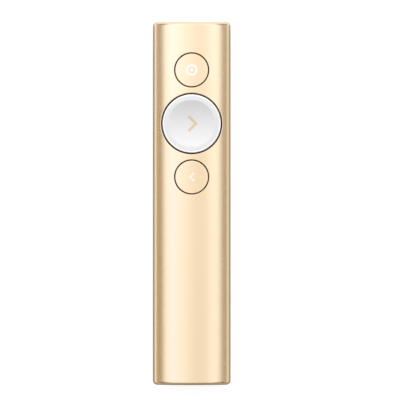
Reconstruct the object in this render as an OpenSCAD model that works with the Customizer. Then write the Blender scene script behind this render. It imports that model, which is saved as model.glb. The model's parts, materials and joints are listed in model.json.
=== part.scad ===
// Wireless presentation clicker: a slim anodised tube with three push buttons on its crown.
// The part lies on its crowned back: Z = 0 is the lowest line of the back, +Z comes out of the
// buttons, +Y points at the nose and +X to the user's right. All sizes are in millimetres.
// Inside the modules heights are levels, measured up from the tube's mid plane.

/* [Body] */
// Overall length along Y, over both end plates
body_l = 131.3; // [128:0.1:150]
// Overall width along X
body_w = 28.1; // [27.8:0.1:30]
// Overall thickness along Z, from crown to crown
body_t = 12.1; // [12:0.1:14]
// Radius of the rounded long sides
side_r = 3.0; // [2.6:0.1:3.4]
// Wall of the extruded tube
wall = 1.2; // [1:0.05:1.3]
// Radius that rounds the tube's end edges
end_fillet = 1.5; // [0.5:0.1:1.8]

/* [Buttons] */
// Nose end to the middle of the pointer button
pointer_inset = 17.45; // [17.2:0.05:20]
// Bridge of the tube between the pointer button's bore and the next button's
nose_bridge = 2.0; // [1.2:0.05:4]
// Bridge of the tube between the next button's bore and the back button's
tail_bridge = 1.95; // [1.2:0.05:4]
// Bore in the tube for each small button
small_bore_d = 12.6; // [12:0.1:13.2]
// Rail of the tube beside the large button's bore, on each side
bore_rail = 3.0; // [2.8:0.05:4]
// Clearance round each cap in its bore
cap_gap = 0.3; // [0.2:0.05:0.4]
// Thickness of each small cap at its left and right edge
cap_edge_t = 1.1; // [0.9:0.05:1.2]
// Travel of each button
travel = 0.3; // [0.2:0.05:0.35]
// Radius of the thumb dish in the large cap
dish_r = 8.45; // [7.5:0.05:9]
// Depth of the thumb dish below the crown at its middle
dish_depth = 1.2; // [0.6:0.05:1.3]

/* [Icons] */
// Depth of the inlaid icons
icon_depth = 0.12; // [0.08:0.01:0.2]
// Outer diameter of the pointer ring
ring_d = 4.26; // [3.5:0.01:6]
// Stroke of the pointer ring
ring_stroke = 0.71; // [0.4:0.01:0.9]
// Diameter of the dot in the pointer ring
dot_d = 1.07; // [0.6:0.01:1.6]
// Height along Y of the next button's chevron
next_chevron_h = 6.0; // [4:0.1:8]
// Stroke of the next button's chevron
next_chevron_stroke = 1.0; // [0.6:0.05:1.4]
// Height along Y of the back button's chevron
back_chevron_h = 3.1; // [2:0.1:5]
// Stroke of the back button's chevron
back_chevron_stroke = 0.5; // [0.3:0.05:0.8]
// How far the next button's chevron stands to the right of the button's middle
next_chevron_shift = 0.4; // [0:0.05:0.8]
// Slope of the chevrons' arms, in degrees
chevron_slope = 44.5; // [38:0.5:52]

/* [Carriers] */
// Thickness of the disc that carries each cap
carrier_t = 1.2; // [1:0.05:1.4]
// Diameter of the boss that presses each switch
presser_d = 3.0; // [2.4:0.1:3.4]
// Width of each snap hook
hook_w = 2.4; // [1.8:0.1:3]
// Thickness of each snap hook's stem
hook_t = 0.8; // [0.6:0.05:0.9]
// Reach of each snap hook's barb
barb = 0.4; // [0.3:0.05:0.5]

/* [Chassis] */
// Clearance between the chassis and the tube round it
slide_gap = 0.15; // [0.1:0.05:0.25]
// Thickness of the tray's floor at its middle
floor_t = 0.65; // [0.5:0.05:0.7]
// Ledge that carries each long edge of the main board
board_ledge = 0.8; // [0.6:0.05:1.2]
// Thickness of the ribs under the switches
rib_t = 1.0; // [0.8:0.1:1.6]

/* [Key frame] */
// How far the key frame stands out over each long edge of the main board
frame_overhang = 0.3; // [0.2:0.05:0.5]
// Thickness of the key frame's plate
frame_t = 0.8; // [0.7:0.05:0.85]
// Thickness of the key frame's side rims
rim_t = 0.6; // [0.5:0.05:0.8]

/* [Main board] */
// Side of the tube to the long edge of the main board
board_inset = 4.05; // [3.8:0.05:4.4]
// Thickness of the main board
board_t = 0.8; // [0.6:0.1:0.9]

/* [Switches] */
// Side of each square switch body
switch_w = 4.6; // [4.2:0.1:5]
// Height of each switch body
switch_h = 1.2; // [1.1:0.05:1.25]
// Diameter of each switch plunger
plunger_d = 2.0; // [1.6:0.1:2.2]
// How far each plunger stands out of its switch
plunger_rise = 0.65; // [0.5:0.05:0.7]
// Thickness of each snap dome
dome_t = 0.1; // [0.06:0.01:0.14]

/* [Battery] */
// Width of the battery cell
cell_w = 11.0; // [9:0.1:11.2]
// Room between the charging port and the battery cell
cell_tail_gap = 6.95; // [2:0.05:12]
// Middle of the back button to the battery cell
cell_nose_gap = 5.4; // [4:0.05:9]
// Thickness of the foam pad under the cell
pad_t = 0.2; // [0.1:0.01:0.3]

/* [Vibration motor] */
// Diameter of the motor can
motor_d = 4.0; // [3.6:0.1:4.4]
// Length of the motor can
motor_l = 8.0; // [7:0.1:9]
// Diameter of the motor shaft
shaft_d = 1.0; // [0.8:0.1:1.2]
// Radius of the eccentric weight
weight_r = 1.9; // [1.6:0.1:2.2]
// Length of the eccentric weight
weight_l = 3.0; // [2.4:0.1:3.4]
// Thickness of the rubber boot along Y, each side of the can
boot_t = 0.8; // [0.6:0.05:1]

/* [Charging port] */
// Width of the charging port's shell
port_w = 8.94; // [8.9:0.01:9]
// Height of the charging port's shell
port_h = 3.16; // [3.1:0.01:3.2]
// Length of the charging port's shell
port_l = 7.3; // [7:0.05:7.8]

/* [Receiver] */
// Width of the receiver's head
head_w = 15.0; // [14:0.1:15.4]
// Height of the receiver's head
head_h = 6.0; // [5.6:0.1:6.2]
// Length of the receiver's head
head_l = 8.45; // [7:0.05:9]
// Width of the receiver's plug
plug_w = 12.0; // [11.9:0.05:12.1]
// Height of the receiver's plug
plug_h = 4.5; // [4.4:0.05:4.6]
// Length of the plug in front of the head
plug_l = 18.7; // [17:0.05:19]
// Clearance round the receiver's head in its dock
dock_gap = 0.15; // [0.1:0.05:0.2]

/* [Ends and fasteners] */
// Thickness of each end plate
plate_t = 0.8; // [0.6:0.05:1]
// Length of each end cap behind its plate
end_cap_l = 3.2; // [2.8:0.05:3.6]
// Thread diameter of the end screws
end_screw_d = 1.6; // [1.4:0.1:1.8]
// Thread diameter of the key frame's screws
frame_screw_d = 1.2; // [1:0.1:1.4]

/* [Hidden] */
$fn = 96;
FINE = 240;               // for the wide, shallow arcs of the dish

// Colours
GOLD = "#e3c79d";
PALE = "#f2efe9";
WHITE = "#ffffff";
DARK = "#2f3033";
SMOKE = "#55565a";
STEEL = "#b9bcc0";
BRASS = "#d0a850";
GREEN = "#1f5c3a";
FOIL = "#c8cbd0";
RED = "#c03028";
RUBBER = "#202022";

// Clearances
cut = 1;                  // overrun of a cut past the face that it goes through
seat_gap = 0.08;          // between the end pieces and the tube
touch_gap = 0.02;         // between two pieces that only just meet
run_gap = 0.05;           // radial play of a shaft or plunger in its bore
hook_gap = 0.1;           // play of a snap hook in its slot
press_gap = 0.1;          // left under the large cap when it is pressed home
board_gap = 0.15;         // beside the main board and in its cut-outs
presser_gap = 0.3;        // round each presser in the key frame
frame_gap = 0.07;         // between the switches and the key frame
dome_gap = 0.15;          // round each snap dome in its switch
plug_end_gap = 0.4;       // ahead of the receiver's plug, and of its tongue
stick_board_gap = 0.2;    // beside the receiver's board
stick_end_gap = 0.3;      // behind the receiver's board

// Tube section: two crown arcs that run into two side arcs
half_l = body_l / 2;
half_w = body_w / 2;
half_t = body_t / 2;
tip_x = half_w - side_r;
crown_r = (tip_x * tip_x + half_t * half_t - side_r * side_r) / (2 * (half_t - side_r));
crown_drop = crown_r - half_t;
// Direction in which a crown arc runs into a side arc
ray_x = tip_x / (crown_r - side_r);
ray_z = crown_drop / (crown_r - side_r);
wedge_reach = 3 * side_r;

// Level of the crown at a place x, or of a surface inset below it
function crown_at(x, inset = 0) = sqrt(pow(crown_r - inset, 2) - x * x) - crown_drop;

// A worked-out size, kept to whole microns
function to_micron(size) = round(size * 1000) / 1000;

// Buttons
small_bore_r = small_bore_d / 2;
large_bore_r = half_w - bore_rail;
pointer_y = half_l - pointer_inset;
next_y = pointer_y - small_bore_r - nose_bridge - large_bore_r;
back_y = next_y - large_bore_r - tail_bridge - small_bore_r;
small_cap_r = small_bore_r - cap_gap;
large_cap_r = large_bore_r - cap_gap;
small_cap_low = crown_at(small_cap_r) - cap_edge_t;
// The dish is cut by a spool about an axis along X, high above the cap. Both of its radii follow
// from its depth and from the round outline that it leaves on the crown.
dish_drop = half_t - crown_at(dish_r);
dish_axis = (dish_r * dish_r / dish_depth + 2 * half_t - dish_depth) / 2;
dish_floor = half_t - dish_depth;
spool_sag = dish_drop - dish_depth;
spool_r = (dish_r * dish_r + spool_sag * spool_sag) / (2 * spool_sag);

// Main board: its upper face lies on the mid plane
board_low = -board_t;
board_w = body_w - 2 * board_inset;

// Key frame, over the switches, and the large cap over it
frame_w = board_w + 2 * frame_overhang;
frame_low = switch_h + frame_gap;
frame_top = frame_low + frame_t;
large_cap_low = frame_top + press_gap + travel;
frame_nose_margin = 5.55;
frame_tail_margin = 8.1;
frame_nose_y = pointer_y + frame_nose_margin;
frame_tail_y = back_y - frame_tail_margin;
rim_inset = 0.6;
rim_x = frame_w / 2 - rim_inset;
presser_slot_r = presser_d / 2 + presser_gap;

// Carriers
small_carrier_step = 0.5;
large_carrier_step = 2.8;
hook_inset = 0.75;
small_carrier_r = small_cap_r - small_carrier_step;
large_carrier_r = large_cap_r - large_carrier_step;
small_hook_r = small_carrier_r - hook_t / 2 - hook_inset;
large_hook_r = large_carrier_r - hook_t / 2 - hook_inset;
peg_r = 2.0;
peg_h = 0.7;
hook_low = 0.5;
hook_high = frame_low - hook_gap / 2;

// Switches
plunger_r = plunger_d / 2;
plunger_top = switch_h + plunger_rise;
switch_roof = 0.3;
switch_floor = 0.15;
switch_wall = 0.4;
switch_cavity_r = switch_w / 2 - switch_wall;
flange_reach = 0.5;
flange_r = plunger_r + flange_reach;
flange_t = 0.2;
flange_top = switch_h - switch_roof - touch_gap;
flange_low = flange_top - flange_t;
dome_r = switch_cavity_r - dome_gap;
dome_rise = flange_low - touch_gap - switch_floor;
dome_ball_r = (dome_r * dome_r + dome_rise * dome_rise) / (2 * dome_rise);

// Ends
plate_inner_y = half_l - plate_t;
cap_inner_y = plate_inner_y - end_cap_l;
end_screw_r = end_screw_d / 2;
end_head_reach = 0.7;
end_head_r = end_screw_r + end_head_reach;
end_head_h = 1.0;
end_screw_bite = 3.2;
end_screw_l = end_cap_l + end_screw_bite;

// Chassis tray: its floor follows the tube
chassis_inset = wall + slide_gap;
floor_inset = chassis_inset + floor_t;
bay_x = board_w / 2 - board_ledge;

// Motor bay, midway between the key frame and the nose cap
bay_gap = 0.4;
motor_r = motor_d / 2;
motor_y = (frame_nose_y + bay_gap + cap_inner_y) / 2;
motor_shift = 1.5;
motor_back_x = -motor_l / 2 - motor_shift;
motor_front_x = motor_back_x + motor_l;
boot_margin = 0.8;
boot_over = 1.0;
boot_top = motor_r + boot_over;
motor_bay_y = motor_y - motor_r - boot_t - hook_gap;
boss_top = 3.0;
weight_gap = 0.6;
shaft_tip = 0.1;
weight_x = motor_front_x + weight_gap;
shaft_end_x = weight_x + weight_l + shaft_tip;
shaft_in_can = 3.4;
hub_wall = 0.4;
hub_r = shaft_d / 2 + hub_wall;
board_nose_gap = 0.6;
board_nose_y = motor_bay_y - board_nose_gap;
motor_lead_r = 0.35;
motor_lead_bend = 0.6;
motor_lead_apart = 1.4;
motor_lead_turns = [0.7, 1.6];
motor_lead_land = 1.5;
motor_bay_x = -motor_back_x + motor_lead_turns[1] + motor_lead_r + board_gap;

// Dock and charging port, from the tail inward
head_front_y = -half_l + head_l;
plug_front_y = head_front_y + plug_l;
dock_end_y = plug_front_y + plug_end_gap;
port_wall_t = 1.0;
tray_tail_y = dock_end_y + port_wall_t;
port_back_y = dock_end_y + port_l;
port_sheet = 0.3;
port_flat = 0.2;
port_round = (port_h - port_flat) / 2;
board_tail_gap = 0.5;
board_tail_y = tray_tail_y + board_tail_gap;
tongue_base_l = 2.5;
tongue_set_back = 0.8;
tongue_w = 6.7;
tongue_t = 0.7;
dock_w = head_w + 2 * dock_gap;
dock_h = head_h + 2 * dock_gap;
dock_x = dock_w / 2;
head_round = 1.5;
spring_t = 0.2;
spring_h = 3.0;
spring_sag = dock_x - plug_w / 2 - run_gap;
spring_chord = 8.0;
spring_r = (pow(spring_chord / 2, 2) + spring_sag * spring_sag) / (2 * spring_sag);
spring_inset = 7.0;
spring_y = head_front_y + spring_inset;
// The end screws stand midway between the dock and the cap's side
end_screw_x = (dock_x + half_w - wall - seat_gap) / 2;

// Receiver
plug_sheet = 0.3;
plug_round = 0.6;
plug_hold = 2.0;
plug_back_y = head_front_y - plug_hold;
plug_inner_h = plug_h - 2 * plug_sheet;
plug_inner_w = plug_w - 2 * plug_sheet;
tongue_low = -plug_inner_h / 2;
plug_tongue_t = 1.84;
tongue_top = tongue_low + plug_tongue_t;
tongue_front_y = plug_front_y - plug_end_gap;
head_wall = 1.2;
nail_w = 8.0;
nail_h = 1.6;
nail_depth = 0.7;
head_room_w = plug_inner_w;
head_room_h = 3.4;
stick_board_t = 0.7;
stick_board_w = plug_inner_w - 2 * stick_board_gap;
contact_outer_x = 3.5;
contact_inner_x = 1.0;
contact_w = 1.0;
contact_l = 7.0;
contact_t = 0.1;
contact_inset = 0.6;
contact_y = tongue_front_y - contact_inset - contact_l / 2;
stick_board_set_back = 2.5;
stick_board_front_y = contact_y - contact_l / 2 - stick_board_set_back;
window_w = 2.5;
window_l = 2.0;
window_x = 2.9;
window_inset = 5.6;
window_y = plug_front_y - window_inset;

// Battery: the cell fills the bay between the charging port and the back button's rib, and its
// thickness is what the board leaves over the foam pad, whose pocket is cut into the floor
cell_nose_y = back_y - cell_nose_gap;
cell_tail_y = port_back_y + cell_tail_gap;
cell_l = cell_nose_y - cell_tail_y;
cell_round = 1.0;
pad_w = cell_w - 2 * cell_round;
pad_l = cell_l - 2 * cell_round;
pocket_depth = 0.15;
pad_low = -to_micron(crown_at(pad_w / 2, floor_inset) + pocket_depth);
cell_low = pad_low + pad_t;
cell_top = board_low - board_gap;
cell_t = cell_top - cell_low;
cell_mid_y = (cell_tail_y + cell_nose_y) / 2;
rail_high = (cell_low + cell_top) / 2;
guard_t = 1.0;
guard_gap = 0.05;
guard_inset = 0.7;
guard_step = 0.5;
guard_w = cell_w - 2 * guard_inset;
guard_low = cell_low + guard_step;
guard_high = cell_top - guard_step;
guard_nose_y = cell_nose_y + guard_gap + guard_t;
lead_r = 0.4;
lead_bend = 0.9;
lead_x = 1.2;
lead_run = 2.4;
lead_level = (guard_low + guard_high) / 2;
lead_turn_y = guard_nose_y + lead_run;

// Parts on the main board
shield_w = 11.0;
shield_l = 11.0;
shield_h = 1.5;
shield_sheet = 0.2;
shield_y = (port_back_y + frame_tail_y) / 2;
chip_h = 0.85;
processor_w = 6.0;
sensor_w = 3.0;
sensor_x = (shield_w / 2 + board_w / 2) / 2;
charger_w = 3.5;
charger_x = (port_w / 2 + board_gap + board_w / 2) / 2;
charger_y = (board_tail_y + port_back_y) / 2;
antenna_w = 2.0;
antenna_l = 9.0;
antenna_h = 1.0;
antenna_gap = 0.7;
antenna_end_gap = 0.2;
antenna_x = -rim_x + rim_t + antenna_gap + antenna_w / 2;
antenna_y = board_nose_y - motor_lead_land - antenna_end_gap - antenna_l / 2;
led_w = 1.6;
led_l = 0.8;
led_h = 0.5;
led_gap = 0.6;
led_y = pointer_y + switch_w / 2 + led_gap;
passive_w = 1.0;
passive_l = 0.5;
passive_h = 0.5;
passive_pitch = 1.9;
passive_gap = 1.2;
// Rows of resistors and capacitors: [middle along X, middle along Y, count]
passive_rows = [
    [0, shield_y + shield_l / 2 + passive_gap, 5],
    [0, shield_y - shield_l / 2 - passive_gap, 5],
    [-charger_x, charger_y + passive_gap, 2],
    [-charger_x, charger_y, 2],
    [-charger_x, charger_y - passive_gap, 2],
];

// Key frame screws, on the two bridges between the bores
frame_screw_r = frame_screw_d / 2;
frame_head_reach = 0.5;
frame_head_r = frame_screw_r + frame_head_reach;
frame_head_h = 0.6;
frame_head_high = frame_top - hook_gap;
frame_head_low = frame_head_high - frame_head_h;
frame_boss_wall = 0.5;
frame_boss_r = frame_head_r + frame_boss_wall;
frame_screw_inset = 2.1;
frame_screw_x = frame_w / 2 - frame_screw_inset;
frame_screw_floor = 0.5;
frame_screw_end = frame_screw_floor - crown_at(frame_screw_x + frame_screw_r, chassis_inset);
frame_screw_ys = [
    (back_y + small_bore_r + next_y - large_bore_r) / 2,
    (next_y + large_bore_r + pointer_y - small_bore_r) / 2,
];

// ---- Placing and shaping ------------------------------------------------------------------

// Lifts a piece that is drawn in levels to its place over Z = 0
module from_mid_plane() {
    translate([0, 0, half_t]) children();
}

// Stretches an outline that is drawn in X and level from one place along Y to another
module along_y(tail, nose) {
    translate([0, nose, 0]) rotate([90, 0, 0]) linear_extrude(nose - tail) children();
}

// A box between two opposite corners, given as [x, y, level]
module box(low, high) {
    translate(low) cube(high - low);
}

// A box centred on the part's length plane, standing on a level
module chip(x, y, w, l, low, high) {
    box([x - w / 2, y - l / 2, low], [x + w / 2, y + l / 2, high]);
}

// A round post from one level to another
module post(x, y, r, low, high) {
    translate([x, y, low]) cylinder(r = r, h = high - low);
}

// A round bar along X
module bar_x(y, level, r, left, right) {
    translate([left, y, level]) rotate([0, 90, 0]) cylinder(r = r, h = right - left);
}

// A round bar along Y
module bar_y(x, level, r, tail, nose) {
    translate([x, tail, level]) rotate([-90, 0, 0]) cylinder(r = r, h = nose - tail);
}

// A rectangle with round corners
module rounded_rect(w, h, r) {
    square([w - 2 * r, h], center = true);
    square([w, h - 2 * r], center = true);
    for (x = [-1, 1], y = [-1, 1])
        translate([x * (w / 2 - r), y * (h / 2 - r)]) circle(r = r);
}

// ---- Tube section -------------------------------------------------------------------------

// The stretch of the section that belongs to one side arc
module side_wedge(side) {
    polygon([
        [side * tip_x, 0],
        [side * (tip_x + ray_x * wedge_reach), ray_z * wedge_reach],
        [side * (tip_x + wedge_reach), 0],
        [side * (tip_x + ray_x * wedge_reach), -ray_z * wedge_reach],
    ]);
}

// The tube's section in X and level, or one that lies inset within it
module oval(inset = 0) {
    difference() {
        intersection_for (end = [-1, 1])
            translate([0, end * crown_drop]) circle(r = crown_r - inset);
        for (side = [-1, 1])
            difference() {
                side_wedge(side);
                translate([side * tip_x, 0]) circle(r = side_r - inset);
            }
    }
}

// A round rod along Y as long as the body, with filleted ends
module filleted_rod(r) {
    fillet_y = half_l - end_fillet;
    rotate([90, 0, 0]) rotate_extrude() difference() {
        translate([0, -half_l]) square([r, body_l]);
        for (end = [-1, 1])
            difference() {
                translate([r - end_fillet, end > 0 ? fillet_y : -half_l - cut])
                    square(end_fillet + cut);
                translate([r - end_fillet, end * fillet_y]) circle(r = end_fillet);
            }
    }
}

// The body's outer shape: the section's arcs as rods, so that the fillet follows all four
module filleted_bar() {
    difference() {
        intersection_for (end = [-1, 1])
            translate([0, 0, end * crown_drop]) filleted_rod(crown_r);
        for (side = [-1, 1])
            difference() {
                along_y(-half_l - cut, half_l + cut) side_wedge(side);
                translate([side * tip_x, 0, 0]) filleted_rod(side_r);
            }
    }
}

// ---- Tube and ends ------------------------------------------------------------------------

module sleeve() from_mid_plane() color(GOLD) difference() {
    filleted_bar();
    along_y(-half_l - cut, half_l + cut) oval(wall);
    for (bore = [[pointer_y, small_bore_r], [next_y, large_bore_r], [back_y, small_bore_r]])
        post(0, bore[0], bore[1], 0, body_t);
}

// The receiver's way in, from one place along Y to another
module dock_channel(tail, nose) {
    along_y(tail, nose) rounded_rect(dock_w, dock_h, head_round + dock_gap);
}

module nose_plate() from_mid_plane() color(GOLD)
    along_y(plate_inner_y, half_l) oval(wall + seat_gap);

module tail_plate() from_mid_plane() color(GOLD) difference() {
    along_y(-half_l, -plate_inner_y) oval(wall + seat_gap);
    dock_channel(-half_l - cut, -plate_inner_y + cut);
}

// Both ends' screws lie along Y, so one end is drawn and the other is its mirror image
module at_end(end) {
    mirror([0, end > 0 ? 0 : 1, 0]) children();
}

// The end cap at the nose, with counterbored screw holes
module end_cap_blank() difference() {
    along_y(cap_inner_y, plate_inner_y) oval(wall + seat_gap);
    for (side = [-1, 1]) {
        bar_y(side * end_screw_x, 0, end_screw_r + run_gap, cap_inner_y - cut, half_l);
        bar_y(side * end_screw_x, 0, end_head_r + hook_gap, plate_inner_y - end_head_h - hook_gap, half_l);
    }
}

module nose_cap() from_mid_plane() color(DARK) end_cap_blank();

module tail_cap() from_mid_plane() color(DARK) difference() {
    at_end(-1) end_cap_blank();
    dock_channel(-half_l, -cap_inner_y + cut);
}

// One pair of end screws at the nose, each with a cross recess in its head
module end_screw_pair() {
    head_top = plate_inner_y - hook_gap;
    for (side = [-1, 1])
        difference() {
            union() {
                bar_y(side * end_screw_x, 0, end_head_r, head_top - end_head_h, head_top);
                bar_y(side * end_screw_x, 0, end_screw_r, head_top - end_screw_l, head_top - end_head_h);
            }
            for (turn = [0, 90])
                translate([side * end_screw_x, head_top, 0]) rotate([0, turn, 0])
                    cube([end_head_r * 1.2, end_head_h, end_head_r * 0.3], center = true);
        }
}

module nose_screws() from_mid_plane() color(STEEL) at_end(1) end_screw_pair();

module tail_screws() from_mid_plane() color(STEEL) at_end(-1) end_screw_pair();

// ---- Chassis, key frame and board ---------------------------------------------------------

// What fills the tube between the end caps
module chassis_bar() along_y(-cap_inner_y, cap_inner_y) oval(chassis_inset);

// The open space over the chassis floor, within a box
module over_floor(low, high) intersection() {
    box(low, high);
    along_y(low.y, high.y) oval(floor_inset);
}

// The chassis's rooms: over the board, under the board, round the motor, the dock and the port
module chassis_rooms() {
    channel_x = board_w / 2 + board_gap;
    box([-half_w, tray_tail_y, 0], [half_w, motor_bay_y, half_t]);
    box([-channel_x, tray_tail_y, board_low], [channel_x, motor_bay_y, half_t]);
    over_floor([-bay_x, tray_tail_y, -half_t], [bay_x, motor_bay_y, half_t]);
    over_floor([-motor_bay_x, motor_bay_y - cut, -half_t], [motor_bay_x, half_l, half_t]);
    box([-half_w, motor_bay_y - cut, boss_top], [half_w, half_l, half_t]);
    dock_channel(-half_l, dock_end_y);
    along_y(dock_end_y - cut, tray_tail_y + cut)
        rounded_rect(port_w + 2 * run_gap, port_h + 2 * run_gap, port_round + run_gap);
    chip(0, cell_mid_y, pad_w + 2 * touch_gap, pad_l + 2 * touch_gap, pad_low, board_low);
}

// What stands on the chassis floor: a rib under each switch, bosses and the battery's rails
module chassis_stands() {
    for (y = [pointer_y, next_y, back_y])
        chip(0, y, 2 * bay_x + rib_t, rib_t, -half_t, board_low);
    for (y = frame_screw_ys, side = [-1, 1])
        post(side * frame_screw_x, y, frame_boss_r, -half_t, board_low);
    for (side = [-1, 1])
        chip(side * (cell_w / 2 + rib_t / 2 + board_gap), cell_mid_y, rib_t, cell_l, -half_t, rail_high);
}

module chassis() from_mid_plane() color(DARK) difference() {
    union() {
        difference() {
            chassis_bar();
            chassis_rooms();
        }
        intersection() {
            chassis_bar();
            chassis_stands();
        }
    }
    for (y = frame_screw_ys, side = [-1, 1])
        post(side * frame_screw_x, y, frame_screw_r + touch_gap, frame_screw_end - hook_gap, half_t);
    for (end = [-1, 1], side = [-1, 1])
        at_end(end) bar_y(side * end_screw_x, 0, end_screw_r + touch_gap,
            plate_inner_y - end_screw_l - 2 * hook_gap, half_l);
}

// Where each button meets the key frame: [middle along Y, hook radius, hook count]
BUTTONS = [[pointer_y, small_hook_r, 2], [next_y, large_hook_r, 4], [back_y, small_hook_r, 2]];

// Places its children at each of a button's snap hooks, with +X pointing outward
module at_hooks(button) {
    for (i = [0 : button[2] - 1])
        translate([0, button[0], 0]) rotate(90 + i * 360 / button[2])
            translate([button[1], 0, 0]) children();
}

module key_frame() from_mid_plane() color(SMOKE) difference() {
    union() {
        box([-frame_w / 2, frame_tail_y, frame_low], [frame_w / 2, frame_nose_y, frame_top]);
        for (side = [-1, 1])
            chip(side * (rim_x - rim_t / 2), (frame_tail_y + frame_nose_y) / 2,
                rim_t, frame_nose_y - frame_tail_y, 0, frame_low + frame_t / 2);
        for (y = frame_screw_ys, side = [-1, 1])
            post(side * frame_screw_x, y, frame_boss_r, 0, frame_low + frame_t / 2);
    }
    for (button = BUTTONS) {
        post(0, button[0], presser_slot_r, frame_low - cut, frame_top + cut);
        at_hooks(button)
            box([-hook_t / 2 - barb - hook_gap, -hook_w / 2 - hook_gap, frame_low - cut],
                [hook_t / 2 + hook_gap / 2, hook_w / 2 + hook_gap, frame_top + cut]);
    }
    for (y = frame_screw_ys, side = [-1, 1]) {
        post(side * frame_screw_x, y, frame_screw_r + run_gap, -cut, frame_top + cut);
        post(side * frame_screw_x, y, frame_head_r + hook_gap, frame_head_low, frame_top + cut);
    }
}

module frame_screws() from_mid_plane() color(STEEL)
    for (y = frame_screw_ys, side = [-1, 1])
        difference() {
            union() {
                post(side * frame_screw_x, y, frame_screw_r, frame_screw_end,
                    frame_head_high - frame_head_h / 2);
                post(side * frame_screw_x, y, frame_head_r, frame_head_low, frame_head_high);
            }
            for (turn = [0, 90])
                translate([side * frame_screw_x, y, frame_head_high]) rotate(turn)
                    cube([frame_head_r * 1.2, frame_head_r * 0.3, frame_head_h], center = true);
        }

module main_board() from_mid_plane() color(GREEN) difference() {
    box([-board_w / 2, board_tail_y, board_low], [board_w / 2, board_nose_y, 0]);
    box([-port_w / 2 - board_gap, board_tail_y - cut, board_low - cut],
        [port_w / 2 + board_gap, port_back_y + board_gap, cut]);
    for (y = frame_screw_ys, side = [-1, 1])
        post(side * frame_screw_x, y, frame_screw_r + run_gap, board_low - cut, cut);
}

// ---- Switches -----------------------------------------------------------------------------

module tact_switch(y) from_mid_plane() color(DARK) difference() {
    chip(0, y, switch_w, switch_w, 0, switch_h);
    post(0, y, switch_cavity_r, switch_floor, switch_h - switch_roof);
    post(0, y, plunger_r + run_gap, switch_h - switch_roof - cut, switch_h + cut);
}

module switch_plunger(y) from_mid_plane() color(PALE) union() {
    post(0, y, flange_r, flange_low, flange_top);
    post(0, y, plunger_r, flange_low, plunger_top);
}

module snap_dome(y) from_mid_plane() color(STEEL) difference() {
    translate([0, y, switch_floor + dome_rise - dome_ball_r]) difference() {
        sphere(r = dome_ball_r);
        sphere(r = dome_ball_r - dome_t);
    }
    post(0, y, 2 * dome_ball_r, switch_floor - 2 * dome_ball_r - cut, switch_floor);
}

module pointer_switch() tact_switch(pointer_y);
module next_switch() tact_switch(next_y);
module back_switch() tact_switch(back_y);
module pointer_plunger() switch_plunger(pointer_y);
module next_plunger() switch_plunger(next_y);
module back_plunger() switch_plunger(back_y);
module pointer_dome() snap_dome(pointer_y);
module next_dome() snap_dome(next_y);
module back_dome() snap_dome(back_y);

// ---- Buttons ------------------------------------------------------------------------------

// What lies within the crown, or inset below it, over a stretch along Y
module under_crown(y, reach, inset = 0) {
    translate([0, y, -crown_drop]) rotate([90, 0, 0])
        cylinder(r = crown_r - inset, h = 2 * reach, center = true);
}

// A cap's blank: a round disc with a flat underside and a top that follows the crown
module cap_blank(y, r, low) intersection() {
    post(0, y, r, low, half_t + cut);
    under_crown(y, r + cut);
}

module chevron(h, stroke) {
    arm_l = h / 2 / sin(chevron_slope);
    run = arm_l * cos(chevron_slope);
    inner_x = run + stroke * sin(chevron_slope);
    inner_y = h / 2 - stroke * cos(chevron_slope);
    apex_x = stroke / sin(chevron_slope);
    translate([inner_x / 2, 0]) polygon([
        [0, 0], [-run, h / 2], [-inner_x, inner_y], [-apex_x, 0], [-inner_x, -inner_y], [-run, -h / 2],
    ]);
}

module pointer_mark() {
    difference() {
        circle(d = ring_d);
        circle(d = ring_d - 2 * ring_stroke);
    }
    circle(d = dot_d);
}

// An outline drawn in X and Y, stretched up through a cap from below its icon
module through_cap(y, low) {
    translate([0, y, low]) linear_extrude(half_t + cut - low) children();
}

// What the dish leaves open above the large cap, down to its surface or to one inset below it
module over_dish(inset = 0) {
    throat = dish_axis - dish_floor + inset;
    half = large_cap_r + cut;
    translate([0, next_y, dish_axis]) rotate([0, 90, 0]) rotate_extrude($fn = FINE) difference() {
        translate([0, -half]) square([throat + spool_r, 2 * half]);
        translate([throat + spool_r, 0]) circle(r = spool_r, $fn = FINE);
    }
}

module pointer_cap() from_mid_plane() color(GOLD) difference() {
    cap_blank(pointer_y, small_cap_r, small_cap_low);
    post(0, pointer_y, peg_r, small_cap_low - cut, small_cap_low + peg_h);
    difference() {
        through_cap(pointer_y, small_cap_low + peg_h) pointer_mark();
        under_crown(pointer_y, small_cap_r, icon_depth);
    }
}

module pointer_icon() from_mid_plane() color(WHITE) difference() {
    intersection() {
        through_cap(pointer_y, small_cap_low + peg_h) pointer_mark();
        under_crown(pointer_y, small_cap_r);
    }
    under_crown(pointer_y, small_cap_r, icon_depth);
}

module back_mark() mirror([1, 0]) chevron(back_chevron_h, back_chevron_stroke);

module back_cap() from_mid_plane() color(GOLD) difference() {
    cap_blank(back_y, small_cap_r, small_cap_low);
    post(0, back_y, peg_r, small_cap_low - cut, small_cap_low + peg_h);
    difference() {
        through_cap(back_y, small_cap_low + peg_h) back_mark();
        under_crown(back_y, small_cap_r, icon_depth);
    }
}

module back_icon() from_mid_plane() color(WHITE) difference() {
    intersection() {
        through_cap(back_y, small_cap_low + peg_h) back_mark();
        under_crown(back_y, small_cap_r);
    }
    under_crown(back_y, small_cap_r, icon_depth);
}

module next_mark() translate([next_chevron_shift, 0]) chevron(next_chevron_h, next_chevron_stroke);

module next_cap() from_mid_plane() color(WHITE) difference() {
    cap_blank(next_y, large_cap_r, large_cap_low);
    over_dish();
    post(0, next_y, large_carrier_r + run_gap, large_cap_low - cut, large_cap_low + carrier_t);
    intersection() {
        through_cap(next_y, large_cap_low + carrier_t) next_mark();
        over_dish(icon_depth);
    }
}

module next_icon() from_mid_plane() color(GOLD) difference() {
    intersection() {
        through_cap(next_y, large_cap_low + carrier_t) next_mark();
        over_dish(icon_depth);
    }
    over_dish();
}

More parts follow.
